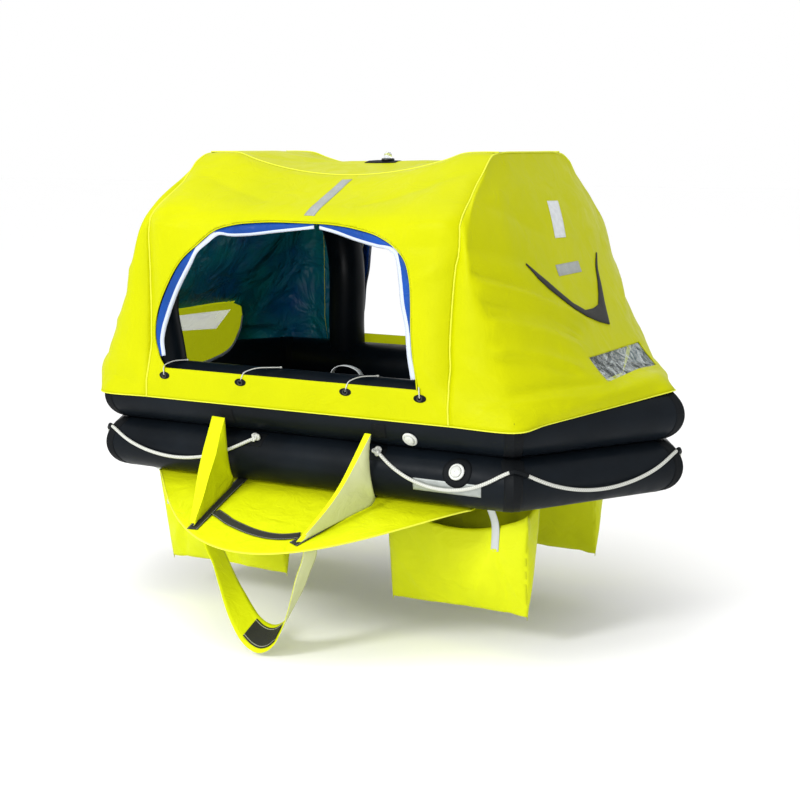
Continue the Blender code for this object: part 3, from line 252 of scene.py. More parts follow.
def woven_band(name, light, dark, stitch=None, edge=0.16):
    """Webbing or bias tape: ribs across it, and stitches inside each edge if stitch is a colour."""
    look, skin = start_look(name, light, 0.75)
    uv = node(look, "ShaderNodeUVMap").outputs["UV"]
    parts = node(look, "ShaderNodeSeparateXYZ", {"Vector": uv})
    ribs = node(look, "ShaderNodeTexWave", {"Vector": uv, "Scale": 1.0 / (RIB_PITCH * 3.18)},
                bands_direction="X")
    blotch = node(look, "ShaderNodeTexNoise", {"Vector": uv, "Scale": 60.0, "Detail": 3.0})
    tone = node(look, "ShaderNodeMath", {0: ribs.outputs["Fac"], 1: blotch.outputs["Fac"]},
                operation="MULTIPLY")
    # the grooves between the ribs are painted darker, a painted shade, and blotches vary the tone at random
    colour = ramp(look, tone.outputs["Value"], (0.05, dark), (0.55, light))
    height = ribs.outputs["Fac"]
    if stitch:
        # distance across the band, from its middle line at 0 to its edges at 1
        off = node(look, "ShaderNodeMath", {0: parts.outputs["Y"]}, operation="ABSOLUTE").outputs[0]
        line = node(look, "ShaderNodeMath", {0: off, 1: 1.0 - edge, 2: 0.035}, operation="COMPARE").outputs[0]
        dash = node(look, "ShaderNodeMath", {0: parts.outputs["X"], 1: STITCH + GAP},
                    operation="FLOORED_MODULO").outputs[0]
        dash = node(look, "ShaderNodeMath", {0: dash, 1: STITCH}, operation="LESS_THAN").outputs[0]
        both = node(look, "ShaderNodeMath", {0: line, 1: dash}, operation="MULTIPLY").outputs[0]
        colour = node(
            look, "ShaderNodeMix", {0: both, 6: colour, 7: srgb(stitch)}, data_type="RGBA").outputs[2]
        height = node(look, "ShaderNodeMath", {0: both, 1: height}, operation="ADD").outputs[0]
    join(look, colour, skin.inputs["Base Color"])
    b = node(look, "ShaderNodeBump", {"Height": height, "Strength": 0.45, "Distance": 0.0008})
    join(look, b.outputs["Normal"], skin.inputs["Normal"])
    return look


# woven nylon and polyester are dull, and the light stitches draw a fine line along each edge
black_webbing = woven_band("nylon_webbing_black", "#23251D", "#131510", stitch="#A9AC98")
plain_webbing = woven_band("nylon_webbing_black_plain", "#1E201B", "#10120E")
white_webbing = woven_band("polyester_webbing_white", "#C3C7C6", "#ABAFB0")
white_hem = woven_band("bias_tape_white", "#C4CAD6", "#AEB7C8", stitch="#98A2B4", edge=0.45)
# the yellow tape is painted paler than the canopy cloth: a painted highlight on the raised seams and hems
yellow_hem_painted_highlight = woven_band("bias_tape_yellow_painted_highlight", "#DCE13A", "#D2D82A", stitch="#BCC22A", edge=0.4)


def braid(name, light, dark):
    """Braided rope: strands wind both ways, so two slanted waves cross on the UV map."""
    look, skin = start_look(name, light, 0.7)
    uv = node(look, "ShaderNodeUVMap").outputs["UV"]
    waves = []
    for slant in (0.011, -0.011):
        turned_uv = node(look, "ShaderNodeMapping", {"Vector": uv, "Scale": (1.0, slant, 1.0)})
        # diagonal bands lie twice as far apart, so 75 gives one strand every 8 mm
        waves.append(node(look, "ShaderNodeTexWave", {"Vector": turned_uv.outputs[0], "Scale": 75.0},
                          bands_direction="DIAGONAL").outputs["Fac"])
    both = node(look, "ShaderNodeMath", {0: waves[0], 1: waves[1]}, operation="MULTIPLY").outputs[0]
    # the grooves between the strands are painted darker: painted shade
    join(look, ramp(look, both, (0.0, dark), (0.5, light)), skin.inputs["Base Color"])
    bump = node(look, "ShaderNodeBump", {"Height": both, "Strength": 0.6, "Distance": 0.001})
    join(look, bump.outputs["Normal"], skin.inputs["Normal"])
    return look


rope_braid = braid("polyester_braid_white", "#CFD0CA", "#A6A8A0")
print("woven:", [m.name for m in (black_webbing, white_webbing, white_hem, yellow_hem_painted_highlight, rope_braid)])

# %% [markdown]
# The small hard parts are moulded nylon, cast brass, painted steel and clear acrylic. Moulded parts
# are never quite even, so a fine noise wears their colour a little and roughens their surface.

# %% Plastic, metal and acrylic
def plastic(name, light, dark, rough, **constants):
    look, skin = start_look(name, light, rough, **constants)
    place = node(look, "ShaderNodeTexCoord").outputs["Object"]
    wear = node(look, "ShaderNodeTexNoise", {"Vector": place, "Scale": 45.0, "Detail": 6.0})
    join(look, ramp(look, wear.outputs["Fac"], (0.35, dark), (0.65, light)), skin.inputs["Base Color"])
    bump = node(look, "ShaderNodeBump", {"Height": wear.outputs["Fac"], "Strength": 0.12, "Distance": 0.0008})
    join(look, bump.outputs["Normal"], skin.inputs["Normal"])
    return look


valve_plastic = plastic("moulded_nylon_valve_white", "#C9CBC6", "#B8BAB4", 0.32)
dark_plastic = plastic("moulded_nylon_black", "#17191B", "#0E0F11", 0.38)
brass = plastic("cast_brass_valve", "#B08D4A", "#8E6F37", 0.34, Metallic=1.0)
bottle_paint = plastic("powder_coated_steel_grey", "#8D9296", "#7D8286", 0.45)
label_film = plastic("printed_film_blank_white", "#CDD1D3", "#BEC2C5", 0.3)
# acrylic is clear, with the faint bloom that handling leaves on it
dome_look, dome_skin = start_look("clear_acrylic_dome", "#F2F6F8", 0.06, Transmission_Weight=0.9, IOR=1.49)
place = node(dome_look, "ShaderNodeTexCoord").outputs["Object"]
wear = node(dome_look, "ShaderNodeTexNoise", {"Vector": place, "Scale": 30.0, "Detail": 3.0})
join(dome_look, ramp(dome_look, wear.outputs["Fac"], (0.3, 0.04), (0.8, 0.16)), dome_skin.inputs["Roughness"])
print("hard finishes:", [m.name for m in (valve_plastic, dark_plastic, brass, bottle_paint, dome_look)])

# %% [markdown]
# Reflective tape is a film of glass beads under clear cells, which looks silver grey by daylight. The
# windows are clear vinyl. It keeps every fold it was packed with, so it is milky along its creases and
# clear between them, which a noise on its alpha gives. The other window's film is still smooth.

# %% Tape and window film
def reflective(name, light, dark):
    """Glass bead tape: a fine honeycomb of sealed cells, 4 mm across, over a silvery film."""
    look, skin = start_look(name, light, 0.38, Metallic=0.25)
    uv = node(look, "ShaderNodeUVMap").outputs["UV"]
    cells = node(look, "ShaderNodeTexVoronoi", {"Vector": uv, "Scale": 260.0}, feature="DISTANCE_TO_EDGE")
    blotch = node(look, "ShaderNodeTexNoise", {"Vector": uv, "Scale": 22.0, "Detail": 4.0})
    net = node(look, "ShaderNodeMath", {0: cells.outputs["Distance"], 1: 0.10},
               operation="LESS_THAN").outputs[0]
    tone = ramp(look, blotch.outputs["Fac"], (0.35, dark), (0.65, light))
    mixed = node(look, "ShaderNodeMix", {0: net, 6: tone, 7: srgb(dark)}, data_type="RGBA").outputs[2]
    join(look, mixed, skin.inputs["Base Color"])
    bump = node(look, "ShaderNodeBump", {
        "Height": cells.outputs["Distance"], "Strength": 0.15, "Distance": 0.0005})
    join(look, bump.outputs["Normal"], skin.inputs["Normal"])
    return look


bead_tape = reflective("glass_bead_tape_silver", "#A3A8A5", "#8C918E")

film_look, film_skin = start_look(
    "clear_vinyl_window_film", "#C9D2D2", 0.12, IOR=1.45, Specular_IOR_Level=0.35)
place = node(film_look, "ShaderNodeTexCoord").outputs["Object"]
ripple = node(film_look, "ShaderNodeTexNoise", {
    "Vector": place, "Scale": 26.0, "Detail": 4.0, "Distortion": 1.4})
bump = node(film_look, "ShaderNodeBump", {
    "Height": ripple.outputs["Fac"], "Strength": 0.9, "Distance": 0.004})
join(film_look, bump.outputs["Normal"], film_skin.inputs["Normal"])
creases = node(film_look, "ShaderNodeTexNoise", {
    "Vector": place, "Scale": 11.0, "Detail": 5.0, "Roughness": 0.7, "Distortion": 2.6})
milky = ramp(film_look, creases.outputs["Fac"], (0.44, 0.08), (0.66, 0.62))
join(film_look, milky, film_skin.inputs["Alpha"])
haze = ramp(film_look, ripple.outputs["Fac"], (0.35, 0.08), (0.75, 0.30))
join(film_look, haze, film_skin.inputs["Roughness"])
smooth_film, _ = start_look(
    "clear_vinyl_window_film_new", "#E2E6E6", 0.2, Alpha=0.40, IOR=1.45, Specular_IOR_Level=0.2)
print("finishes in all:", len(bpy.data.materials))

# %% [markdown]
# Most pieces of a raft are cut from sheet or are rolled from it, so nearly all of them start as a bmesh
# grid whose points are then moved to where the cloth lies. A tube is a grid rolled up until its long
# edges meet. `piece` hands a finished mesh to Blender, names it, makes it ride on its body and says
# which plain solid it replaces.

# %% Mesh helpers
def sheet(points, along_m=None, across=1.0):
    """A bmesh grid laid on rows x columns of points; given its length, its UV map is in metres."""
    rows, cols = points.shape[:2]
    bm = bmesh.new()
    uv = bm.loops.layers.uv.new("UVMap")
    bmesh.ops.create_grid(bm, x_segments=cols - 1, y_segments=rows - 1, size=0.5, calc_uvs=True)
    bm.verts.ensure_lookup_table()
    for v, p in zip(bm.verts, metres(points).reshape(-1, 3)):
        v.co = p
    if along_m is not None:
        for f in bm.faces:
            for corner in f.loops:
                u, w = corner[uv].uv
                corner[uv].uv = (w * along_m, (u * 2 - 1) * across)
    return bm


def length_of(line):
    return float(np.linalg.norm(np.diff(np.asarray(line, float), axis=0), axis=1).sum())


def run_of(line):
    """How far along a line each of its points lies."""
    return np.concatenate([[0], np.cumsum(np.linalg.norm(np.diff(line, axis=0), axis=1))])


def rolled(line, radius, sides=16, closed=False, flat=1.0, up=(0, 0, 1), wobble=None):
    """A pipe: sections set along a line without twist, merged where the grid's edges meet."""
    line = np.asarray(line, float)
    n = len(line)
    if closed:
        line = np.vstack([line, line[:1]])
    radius = np.resize(radius, len(line))    # one number stands for all
    grid = np.empty((len(line), sides + 1, 3))
    normal = np.array(up, float)
    around = np.linspace(0, 2 * math.pi, sides + 1)
    for i, p in enumerate(line):
        if closed:
            d = line[(i + 1) % n] - line[(i - 1) % n]
        else:
            d = line[min(i + 1, n - 1)] - line[max(i - 1, 0)]
        d = d / np.linalg.norm(d)
        normal = normal - d * (normal @ d)
        normal = normal / np.linalg.norm(normal)
        side = np.cross(d, normal)
        k = np.ones(sides + 1) if wobble is None else wobble(i / (len(line) - 1), around)
        round_it = np.outer(np.cos(around) * flat * k, normal) + np.outer(np.sin(around) * k, side)
        grid[i] = p + radius[i] * round_it
    bm = sheet(grid, length_of(line) * R)
    bmesh.ops.remove_doubles(bm, verts=bm.verts, dist=0.00001)
    if not closed:
        bmesh.ops.holes_fill(bm, edges=[e for e in bm.edges if e.is_boundary], sides=0)
    bmesh.ops.recalc_face_normals(bm, faces=bm.faces)
    return bm


def welded(bm, dist=0.00001):
    """Merges points that lie together and turns all faces outward."""
    bmesh.ops.remove_doubles(bm, verts=bm.verts, dist=dist)
    bmesh.ops.recalc_face_normals(bm, faces=bm.faces)
    return bm


def faced(bm, lean):
    """Turns all faces of an open sheet over if lean(face), summed over them, is negative."""
    bm.normal_update()
    if sum(lean(f) for f in bm.faces) < 0:
        bmesh.ops.reverse_faces(bm, faces=bm.faces)
        bm.normal_update()
    return bm


def piece(name, bm, looks, nodes=(), body="raft", sharp=None):
    """Hands a bmesh to Blender; it rides on body and replaces its nodes."""
    mesh = bpy.data.meshes.new(name)
    bm.to_mesh(mesh)
    bm.free()
    mesh.shade_smooth()
    if sharp:
        mesh.set_sharp_from_angle(angle=math.radians(sharp))
    thing = placed(name, mesh)
    for look in (looks if isinstance(looks, (list, tuple)) else [looks]):
        mesh.materials.append(look)
    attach(thing, body)
    if nodes:
        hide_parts(*nodes)
    print(f"  {name}: {len(mesh.polygons)} faces")
    return thing


def thicken(thing, thickness, offset=-1.0, lining=False):
    """Gives cloth its thickness; with lining, its back takes the second material."""
    mod = thing.modifiers.new("thickness", "SOLIDIFY")
    mod.thickness = thickness
    mod.offset = offset
    mod.material_offset = int(lining)
    return thing


def settle(thing):
    """Applies the modifiers, so that later cuts work on the finished cloth."""
    graph = bpy.context.evaluated_depsgraph_get()
    mesh = bpy.data.meshes.new_from_object(thing.evaluated_get(graph))
    thing.modifiers.clear()
    old, thing.data = thing.data, mesh
    bpy.data.meshes.remove(old)
    return thing


def cut_away(thing, bm):
    """Takes a closed bmesh out of a piece."""
    bmesh.ops.recalc_face_normals(bm, faces=bm.faces)
    mesh = bpy.data.meshes.new("knife")
    bm.to_mesh(mesh)
    bm.free()
    knife = placed("knife", mesh)
    mod = thing.modifiers.new("cut", "BOOLEAN")
    mod.operation, mod.solver, mod.object = "DIFFERENCE", "EXACT", knife
    settle(thing)
    bpy.data.objects.remove(knife, do_unlink=True)
    bpy.data.meshes.remove(mesh)


def ease(knots, values, at):
    """A smooth curve through values at knots, for arrays of any shape along axis 0."""
    knots = np.asarray(knots, float)
    values = np.asarray(values, float)
    at = np.atleast_1d(np.asarray(at, float))
    slope = np.gradient(values, knots, axis=0)
    i = np.clip(np.searchsorted(knots, at) - 1, 0, len(knots) - 2)
    h = (knots[i + 1] - knots[i])
    u = (at - knots[i]) / h
    wide = (len(at),) + (1,) * (values.ndim - 1)
    h, u = h.reshape(wide), u.reshape(wide)
    return ((2 * u ** 3 - 3 * u ** 2 + 1) * values[i] + (u ** 3 - 2 * u ** 2 + u) * h * slope[i]
            + (3 * u ** 2 - 2 * u ** 3) * values[i + 1] + (u ** 3 - u ** 2) * h * slope[i + 1])


def even(line, step):
    """A smooth curve through the points of a line, at even steps."""
    line = np.asarray(line, float)
    knots = run_of(line)
    return ease(knots, line, np.linspace(0, knots[-1], max(3, int(knots[-1] / step) + 1)))


def ribbon(line, half):
    """Five lines side by side, from minus to plus the vector half off a middle line."""
    return np.stack([line + np.array(half) * w for w in np.linspace(-1, 1, 5)], axis=1)


def normals_of(points):
    n = np.cross(np.gradient(points, axis=0), np.gradient(points, axis=1))
    return n / np.maximum(np.linalg.norm(n, axis=2, keepdims=True), 1e-9)


print("mesh helpers ready")

# %% [markdown]
# The plan is a long hexagon. Each tube is one straight pipe a side, mitred at the corners, so a point on
# a tube is found from the side it is on, its share of that side and its angle round the section.

# %% The plan of the tubes
PLAN = np.array([(CORNER_X, -SIDE_Y), (TIP_X, 0.0), (CORNER_X, SIDE_Y),
                 (-CORNER_X, SIDE_Y), (-TIP_X, 0.0), (-CORNER_X, -SIDE_Y)])
FRONT, BACK = 5, 2    # the two long sides, by their numbers in the plan
EDGES = np.roll(PLAN, -1, axis=0) - PLAN
SIDE_LEN = np.linalg.norm(EDGES, axis=1)
OUT = np.stack([EDGES[:, 1], -EDGES[:, 0]], axis=1) / SIDE_LEN[:, None]
MITRE = OUT + np.roll(OUT, 1, axis=0)
MITRE = MITRE / np.linalg.norm(MITRE, axis=1, keepdims=True)
MITRE = MITRE / np.sum(MITRE * OUT, axis=1, keepdims=True)


def on_side(i, s, offset, z):
    a = PLAN[i % 6] + MITRE[i % 6] * offset
    b = PLAN[(i + 1) % 6] + MITRE[(i + 1) % 6] * offset
    p = a * (1 - s) + b * s
    return np.array([p[0], p[1], z])


def clear_of(points, centre, reach):
    """Points nearer than reach to a tube's middle line are moved straight out from it."""
    p = np.array(points, float)
    flat = p.reshape(-1, 3)
    gaps = np.einsum("nsk,sk->ns", flat[:, None, :2] - PLAN[None], OUT)
    side = gaps.argmax(axis=1)
    d = gaps[np.arange(len(flat)), side]
    h = flat[:, 2] - centre
    r = np.hypot(d, h)
    k = np.where(r < reach, reach / np.maximum(r, 1e-6), 1.0)
    flat[:, :2] += OUT[side] * (d * (k - 1))[:, None]
    flat[:, 2] = centre + h * k
    return flat.reshape(p.shape)


def front_share(x):
    """The share of a long side at which x lies."""
    return (x + CORNER_X) / (2 * CORNER_X)


print("side lengths", np.round(SIDE_LEN * R, 3), "m")

# %% [markdown]
# A life line runs round the outside of the lower tube for people in the water to hold. It is a 13 mm
# braided rope that hangs in a swag along each side, and it is laced through a patch at each corner. It
# could be a curve with a round bevel, but a rolled grid carries a UV map for its braid. Each half starts
# in a knot on the front and goes round one end to the middle of the back.

# %% Life lines
ROPE_R = 0.065


def swag(i, s0, s1, sag):
    """The rope's points along side i, hung by sag between two patches that are 0.80 above the middle."""
    n = int(abs(s1 - s0) * SIDE_LEN[i % 6] / 0.16)
    u = np.linspace(0, 1, n)
    z = LOW_Z + 0.80 - sag * 4 * u * (1 - u)
    off = 1.0 + ROPE_R + 0.009 + 0.026 * np.minimum(1.0, 12 * u * (1 - u))
    h = np.maximum((z - LOW_Z) / off, 0.0)
    d = off * np.sqrt(1 - h * h)
    return [on_side(i, s0 + (s1 - s0) * a, b, c) for a, b, c in zip(u, d, z)]


def half_line(start, flip):
    line = swag(FRONT, front_share(start), 1.0, 1.05)
    for i, s1, sag in ((0, 1.0, 1.15), (1, 1.0, 1.15), (BACK, 0.495, 1.05)):
        line += swag(i, 0.0, s1, sag)[1:]
    line = np.array(line)
    for _ in range(14):
        line[1:-1] = (line[:-2] + 2 * line[1:-1] + line[2:]) / 4
        line = clear_of(line, LOW_Z, 1.0 + ROPE_R + 0.004)
    line[:, 0] *= flip
    return line


def knot(centre, axis, size, turn=0.0):
    """An overhand knot: a closed trefoil pulled tight."""
    t = np.linspace(0, 2 * math.pi, 61)[:-1]
    x, y = np.sin(t) + 2 * np.sin(2 * t), np.cos(t) - 2 * np.cos(2 * t)
    flat = np.stack([x, y, -np.sin(3 * t)], axis=1) * size
    way = Vector(axis).to_track_quat("Z", "Y").to_matrix() @ Matrix.Rotation(turn, 3, "Z")
    return np.array([way @ Vector(p) for p in flat]) + np.array(centre)


ropes = {}
for tag, start, flip in (("right", 3.25, 1), ("left", 1.80, -1)):
    line = half_line(start, flip)
    rope = piece("life_line_rope_" + tag, rolled(line, ROPE_R, 14), rope_braid, ["life_line_" + tag])
    tie = knot(line[0] + np.array([0, -0.03, 0.02]), (0, -1, 0.6), 0.048, turn=0.4 * flip)
    knot_piece = piece(
        "life_line_knot_" + tag, rolled(tie, 0.058, 12, closed=True), rope_braid)
    ropes[tag] = line

# %% [markdown]
# Four eyelets in the front sill hold short cords that tie the door curtains down. Each cord is 4 mm
# thick, comes out of its eyelet, goes over the sill and lies on the tube inside, ending in a small knot.
# They are made here, with the other cords, and the eyelets follow later.

# %% Tie cords
TIE_R = 0.022
SILL_Y = -6.62
UP, OVER = 0.36, 0.62    # how far a cord has run at the sill's top, and where it meets the tube
TIES = {
    "a": [(-5.93, 0.0), (-5.94, 0.35), (-5.90, 0.62), (-5.75, 0.95), (-5.48, 1.35)],
    "b": [(-2.34, 0.0), (-2.20, 0.34), (-2.10, 0.60), (-1.72, 1.00), (-1.15, 1.42)],
    "c": [(2.27, 0.0), (2.38, 0.34), (2.46, 0.60), (2.72, 0.98), (3.10, 1.36)],
    "d": [(5.32, 0.0), (5.30, 0.34), (5.22, 0.60), (5.00, 0.96), (4.70, 1.30)],
}


def tie_route(points):
    """Points are x and how far the cord has run from its eyelet, up, over the sill and in."""
    out = []
    for x, run in even([(x, s, 0) for x, s in points], 0.06)[:, :2]:
        if run < UP:
            y, z = SILL_Y - 0.035 - 0.02 * math.sin(run * 8), 3.94 + run
        elif run < OVER:
            a = (run - UP) / (OVER - UP) * math.pi / 2
            y, z = SILL_Y - 0.035 + 0.16 * (1 - math.cos(a)) * 1.2, 4.30 + 0.05 * math.sin(a)
        else:
            y = SILL_Y + 0.157 + 0.95 * (run - OVER)
            z = 4.35 + 0.10 * min((run - OVER) / 0.30, 1.0) ** 0.6
        out.append((x, y, z))
    line = np.array(out)
    for _ in range(6):
        line[1:-1] = (line[:-2] + 2 * line[1:-1] + line[2:]) / 4
    # over the tube, whose top half is taller on this side
    tall = TOP_Z + (1 + CREST) * np.sqrt(np.maximum(0.0, 1.0 - (line[:, 1] + SIDE_Y) ** 2)) + TIE_R + 0.004
    line[:, 2] = np.where(line[:, 1] > -6.35, np.maximum(line[:, 2], tall), line[:, 2])
    return line


for tag, points in TIES.items():
    line = tie_route(points)
    cord = piece("tie_cord_" + tag, rolled(line, TIE_R, 8), rope_braid)
    end = knot(line[-1] + np.array([0, 0.02, 0.0]), (0, 0, 1), 0.014)
    end = piece("tie_knot_" + tag, rolled(end, 0.02, 8, closed=True), rope_braid)

# %% [markdown]
# The two buoyancy tubes are round and taut. Where two lengths are glued at a corner the seam can't
# stretch, so the tube is drawn in a little there, and on the inside of the bend the fabric has too much
# length and puckers. Both are small changes of the radius, worked in as the grid is laid.

# %% Buoyancy tubes
def crest(i, far):
    """How much taller the upper tube's top half is: people sit and board over the front side."""
    return 1.0 + CREST * float(np.clip((far - 0.5) / 1.4, 0, 1) ** 0.7) * (i == FRONT)


def seam_radius(far):
    """The tube's radius at a distance from a corner seam, which draws it in a little."""
    return 1.0 - 0.022 * math.exp(-(far / 0.30) ** 2)


def ring_of_tube(name, centre, low, high):
    """One closed tube; low and high flatten its section where it is bonded to the other tube."""
    angle = np.linspace(-math.pi, math.pi, 57)
    rows = []
    for i in range(6):
        count = int(SIDE_LEN[i] / 0.17)
        for s in np.linspace(0, 1, count, endpoint=False):
            far = min(s, 1 - s) * SIDE_LEN[i]
            r = seam_radius(far)
            inner = np.maximum(0.0, -np.cos(angle)) ** 2
            pucker = 0.016 * np.sin(far * 9.0 + 1.5 * np.cos(3 * angle)) * math.exp(-far / 0.9) * inner
            d = np.cos(angle) * (r + pucker)
            z = np.clip(np.sin(angle) * (r + pucker), low, high)
            z = np.where(z > 0, z * (crest(i, far) if high == 1.0 else 1.0), z) + centre
            rows.append([on_side(i, s, a, b) for a, b in zip(d, z)])
    rows.append(rows[0])
    bm = welded(sheet(np.array(rows), 6.0), 0.00002)
    piece(name, bm, tube_rubber, [name.replace("buoyancy_", "")])


ring_of_tube("buoyancy_lower_tube", LOW_Z, -1.0, 1.0 - SQUASH)
ring_of_tube("buoyancy_upper_tube", TOP_Z, -1.0 + SQUASH, 1.0)

# %% [markdown]
# A band of the same rubber is glued round each corner seam. It is a grid that starts a hand's width
# before the corner and ends as far behind it, bent round the section, and thickened outward by less than
# a millimetre. It stops where the two tubes are bonded together.

# %% Corner bands
def corner_band(i, centre, a0, a1, half=0.34):
    rows = []
    for k in np.linspace(-half, half, 9):
        side = i if k >= 0 else i - 1
        share = k / SIDE_LEN[side % 6] if k >= 0 else 1 + k / SIDE_LEN[side % 6]
        r = seam_radius(k) + 0.010
        rows.append([on_side(side, share, r * math.cos(a), centre + r * math.sin(a))
                     for a in np.radians(np.linspace(a0, a1, 44))])
    return np.array(rows)


def gather(parts):
    """Several bmeshes as one."""
    whole = bmesh.new()
    whole.loops.layers.uv.new("UVMap")
    for bm in parts:
        mesh = bpy.data.meshes.new("part")
        bm.to_mesh(mesh)
        bm.free()
        whole.from_mesh(mesh)
        bpy.data.meshes.remove(mesh)
    return whole


for tag, centre, a0, a1 in (("lower", LOW_Z, 108, 432), ("upper", TOP_Z, -72, 252)):
    bands = gather([sheet(corner_band(i, centre, a0, a1), 0.7) for i in range(6)])
    thicken(piece("corner_bands_" + tag, bands, patch_rubber, sharp=40), 0.0009, 1.0)

# %% [markdown]
# The canopy's shape is worked out as in the part's source: a section with a foot on the tube, a knee and
# a ridge, that sags between the two arches, and two ends that run out from the arches over the pointed
# ends. The seams are drawn first, since neighbouring panels share them. The rough grids are then refined
# by a smooth curve through their points, so no facets are left.

# %% Canopy section between the arches
ROOF_Z, ROOF_Y, KNEE_Y, KNEE_Z = 12.437, 3.15, 6.58, 10.2
RIDGE_SAG = 0.36
FOOT_DEG, TIP_DEG = 5.0, 55.0    # where the panels meet the tube's section, on a side and at a tip
OFF = 1.0 + T + 0.006
FOOT_Y = SIDE_Y + OFF * math.cos(math.radians(FOOT_DEG))
FOOT_Z = TOP_Z + OFF * math.sin(math.radians(FOOT_DEG))


def rounded(points, reach):
    """A line with its corners rounded, each as far as its own reach."""
    pts = [np.array(p, float) for p in points]
    out = [pts[0]]
    for i in range(1, len(pts) - 1):
        if reach[i] <= 0:
            out.append(pts[i])
            continue
        a, b = pts[i - 1] - pts[i], pts[i + 1] - pts[i]
        la, lb = np.linalg.norm(a), np.linalg.norm(b)
        p0 = pts[i] + a / la * min(reach[i], la * 0.49)
        p2 = pts[i] + b / lb * min(reach[i], lb * 0.49)
        out += [p0 * (1 - t) ** 2 + pts[i] * 2 * t * (1 - t) + p2 * t * t for t in np.linspace(0, 1, 4)]
    return np.array(out + [pts[-1]])


def side_line(mid):
    """Half a section, foot to roof corner, and the ridge; mid is 0 at an arch, 1 halfway between."""
    c = [(0, -FOOT_Y, FOOT_Z), (0, -FOOT_Y + 0.01, 4.0), (0, -FOOT_Y + 0.02 + 0.03 * mid, 6.0),
         (0, -FOOT_Y + 0.03 + 0.08 * mid, 8.1), (0, -KNEE_Y + 0.22 * mid, KNEE_Z - 0.14 * mid),
         (0, -ROOF_Y - 0.05 * mid, ROOF_Z - 0.95 * mid), (0, 0, ROOF_Z - RIDGE_SAG * mid)]
    line = rounded(c, [0, 0, 0, 0, 0.75, 0.45, 0])
    line, ridge = line[:-1], line[-1]
    out = []
    for i in range(len(line) - 1):
        k = {0: 2, 1: 2, 2: 2, 3: 2, 7: 4}.get(i, 1)    # long spans get more rows
        out += [line[i] * (1 - j / k) + line[i + 1] * (j / k) for j in range(k)]
    return np.array(out + [line[-1]]), ridge


def seam_x(z, left=False):
    """How far out the seam between the front and an end lies at height z."""
    xs = [6.82, 6.80, 6.78, 6.80, 6.84, 6.39] if left else [6.47, 6.42, 6.37, 6.53, 6.83, 6.39]
    return float(ease([3.0, 4.0, 5.81, 8.07, 10.2, ROOF_Z], xs, z)[0])


def slack(w):
    """How freely the cloth sags at w, which is 1 or -1 at a seam and 0 in the middle."""
    return max(0.0, 1.0 - (w / 0.80) ** 2)


W = np.linspace(-1.0, 1.0, 19)
ROOF_COLS = 15
front_cols, roof_cols = [], []
for w in W:
    side, ridge = side_line(slack(w))
    front_cols.append([(w * seam_x(p[2], w < 0), p[1], p[2]) for p in side])
    half = [side[-1] * (1 - t) + ridge * t for t in np.linspace(0, 1, (ROOF_COLS + 1) // 2)]
    line = np.array(half + [p * np.array([1, -1, 1]) for p in half[:-1]][::-1])
    roof_cols.append([(w * seam_x(ROOF_Z), p[1], p[2]) for p in line])
front = np.array(front_cols).transpose(1, 0, 2)
roof = np.array(roof_cols).transpose(1, 0, 2)
MIRROR_X, MIRROR_Y = np.array([-1.0, 1.0, 1.0]), np.array([1.0, -1.0, 1.0])
roof[0], roof[-1] = front[-1], front[-1] * MIRROR_Y
back = (front * MIRROR_Y)[::-1]
print("section rows", len(front), "columns", len(W))

# %% [markdown]
# Each end starts at the seams of the front and the back and comes down over the pointed tube. It is
# drawn as four lines from the roof to the tube, and mirrored. The lines are sampled at the seam's own
# rows and joined across by a B-spline, so that neighbouring panels meet row for row without a gap.

# %% Canopy ends
DOWN_SHARES = [0.0, 0.27, 0.45, 0.62, 0.78, 0.90, 0.955, 1.0]
BASE_SHARES = [0.0, 0.18, 0.42, 0.60, 0.74, 0.87, 1.0]


def tube_out(s, extra=0.0):
    """A point of the end's lower edge on the tube, at a share of the slanted side."""
    a = math.radians(FOOT_DEG * (1 - s) + TIP_DEG * s)
    return on_side(0, s, (OFF + extra) * math.cos(a), TOP_Z + (OFF + extra) * math.sin(a))


def bspline(points, n):
    p = np.array(points, float)
    spans = len(p) - 2
    out = []
    for u in np.linspace(0, spans, n):
        i = min(int(u), spans - 1)
        t = u - i
        a = p[i] if i == 0 else (p[i] + p[i + 1]) / 2
        c = p[i + 2] if i == spans - 1 else (p[i + 1] + p[i + 2]) / 2
        out.append(a * (1 - t) ** 2 + p[i + 1] * 2 * t * (1 - t) + c * t * t)
    return np.array(out)


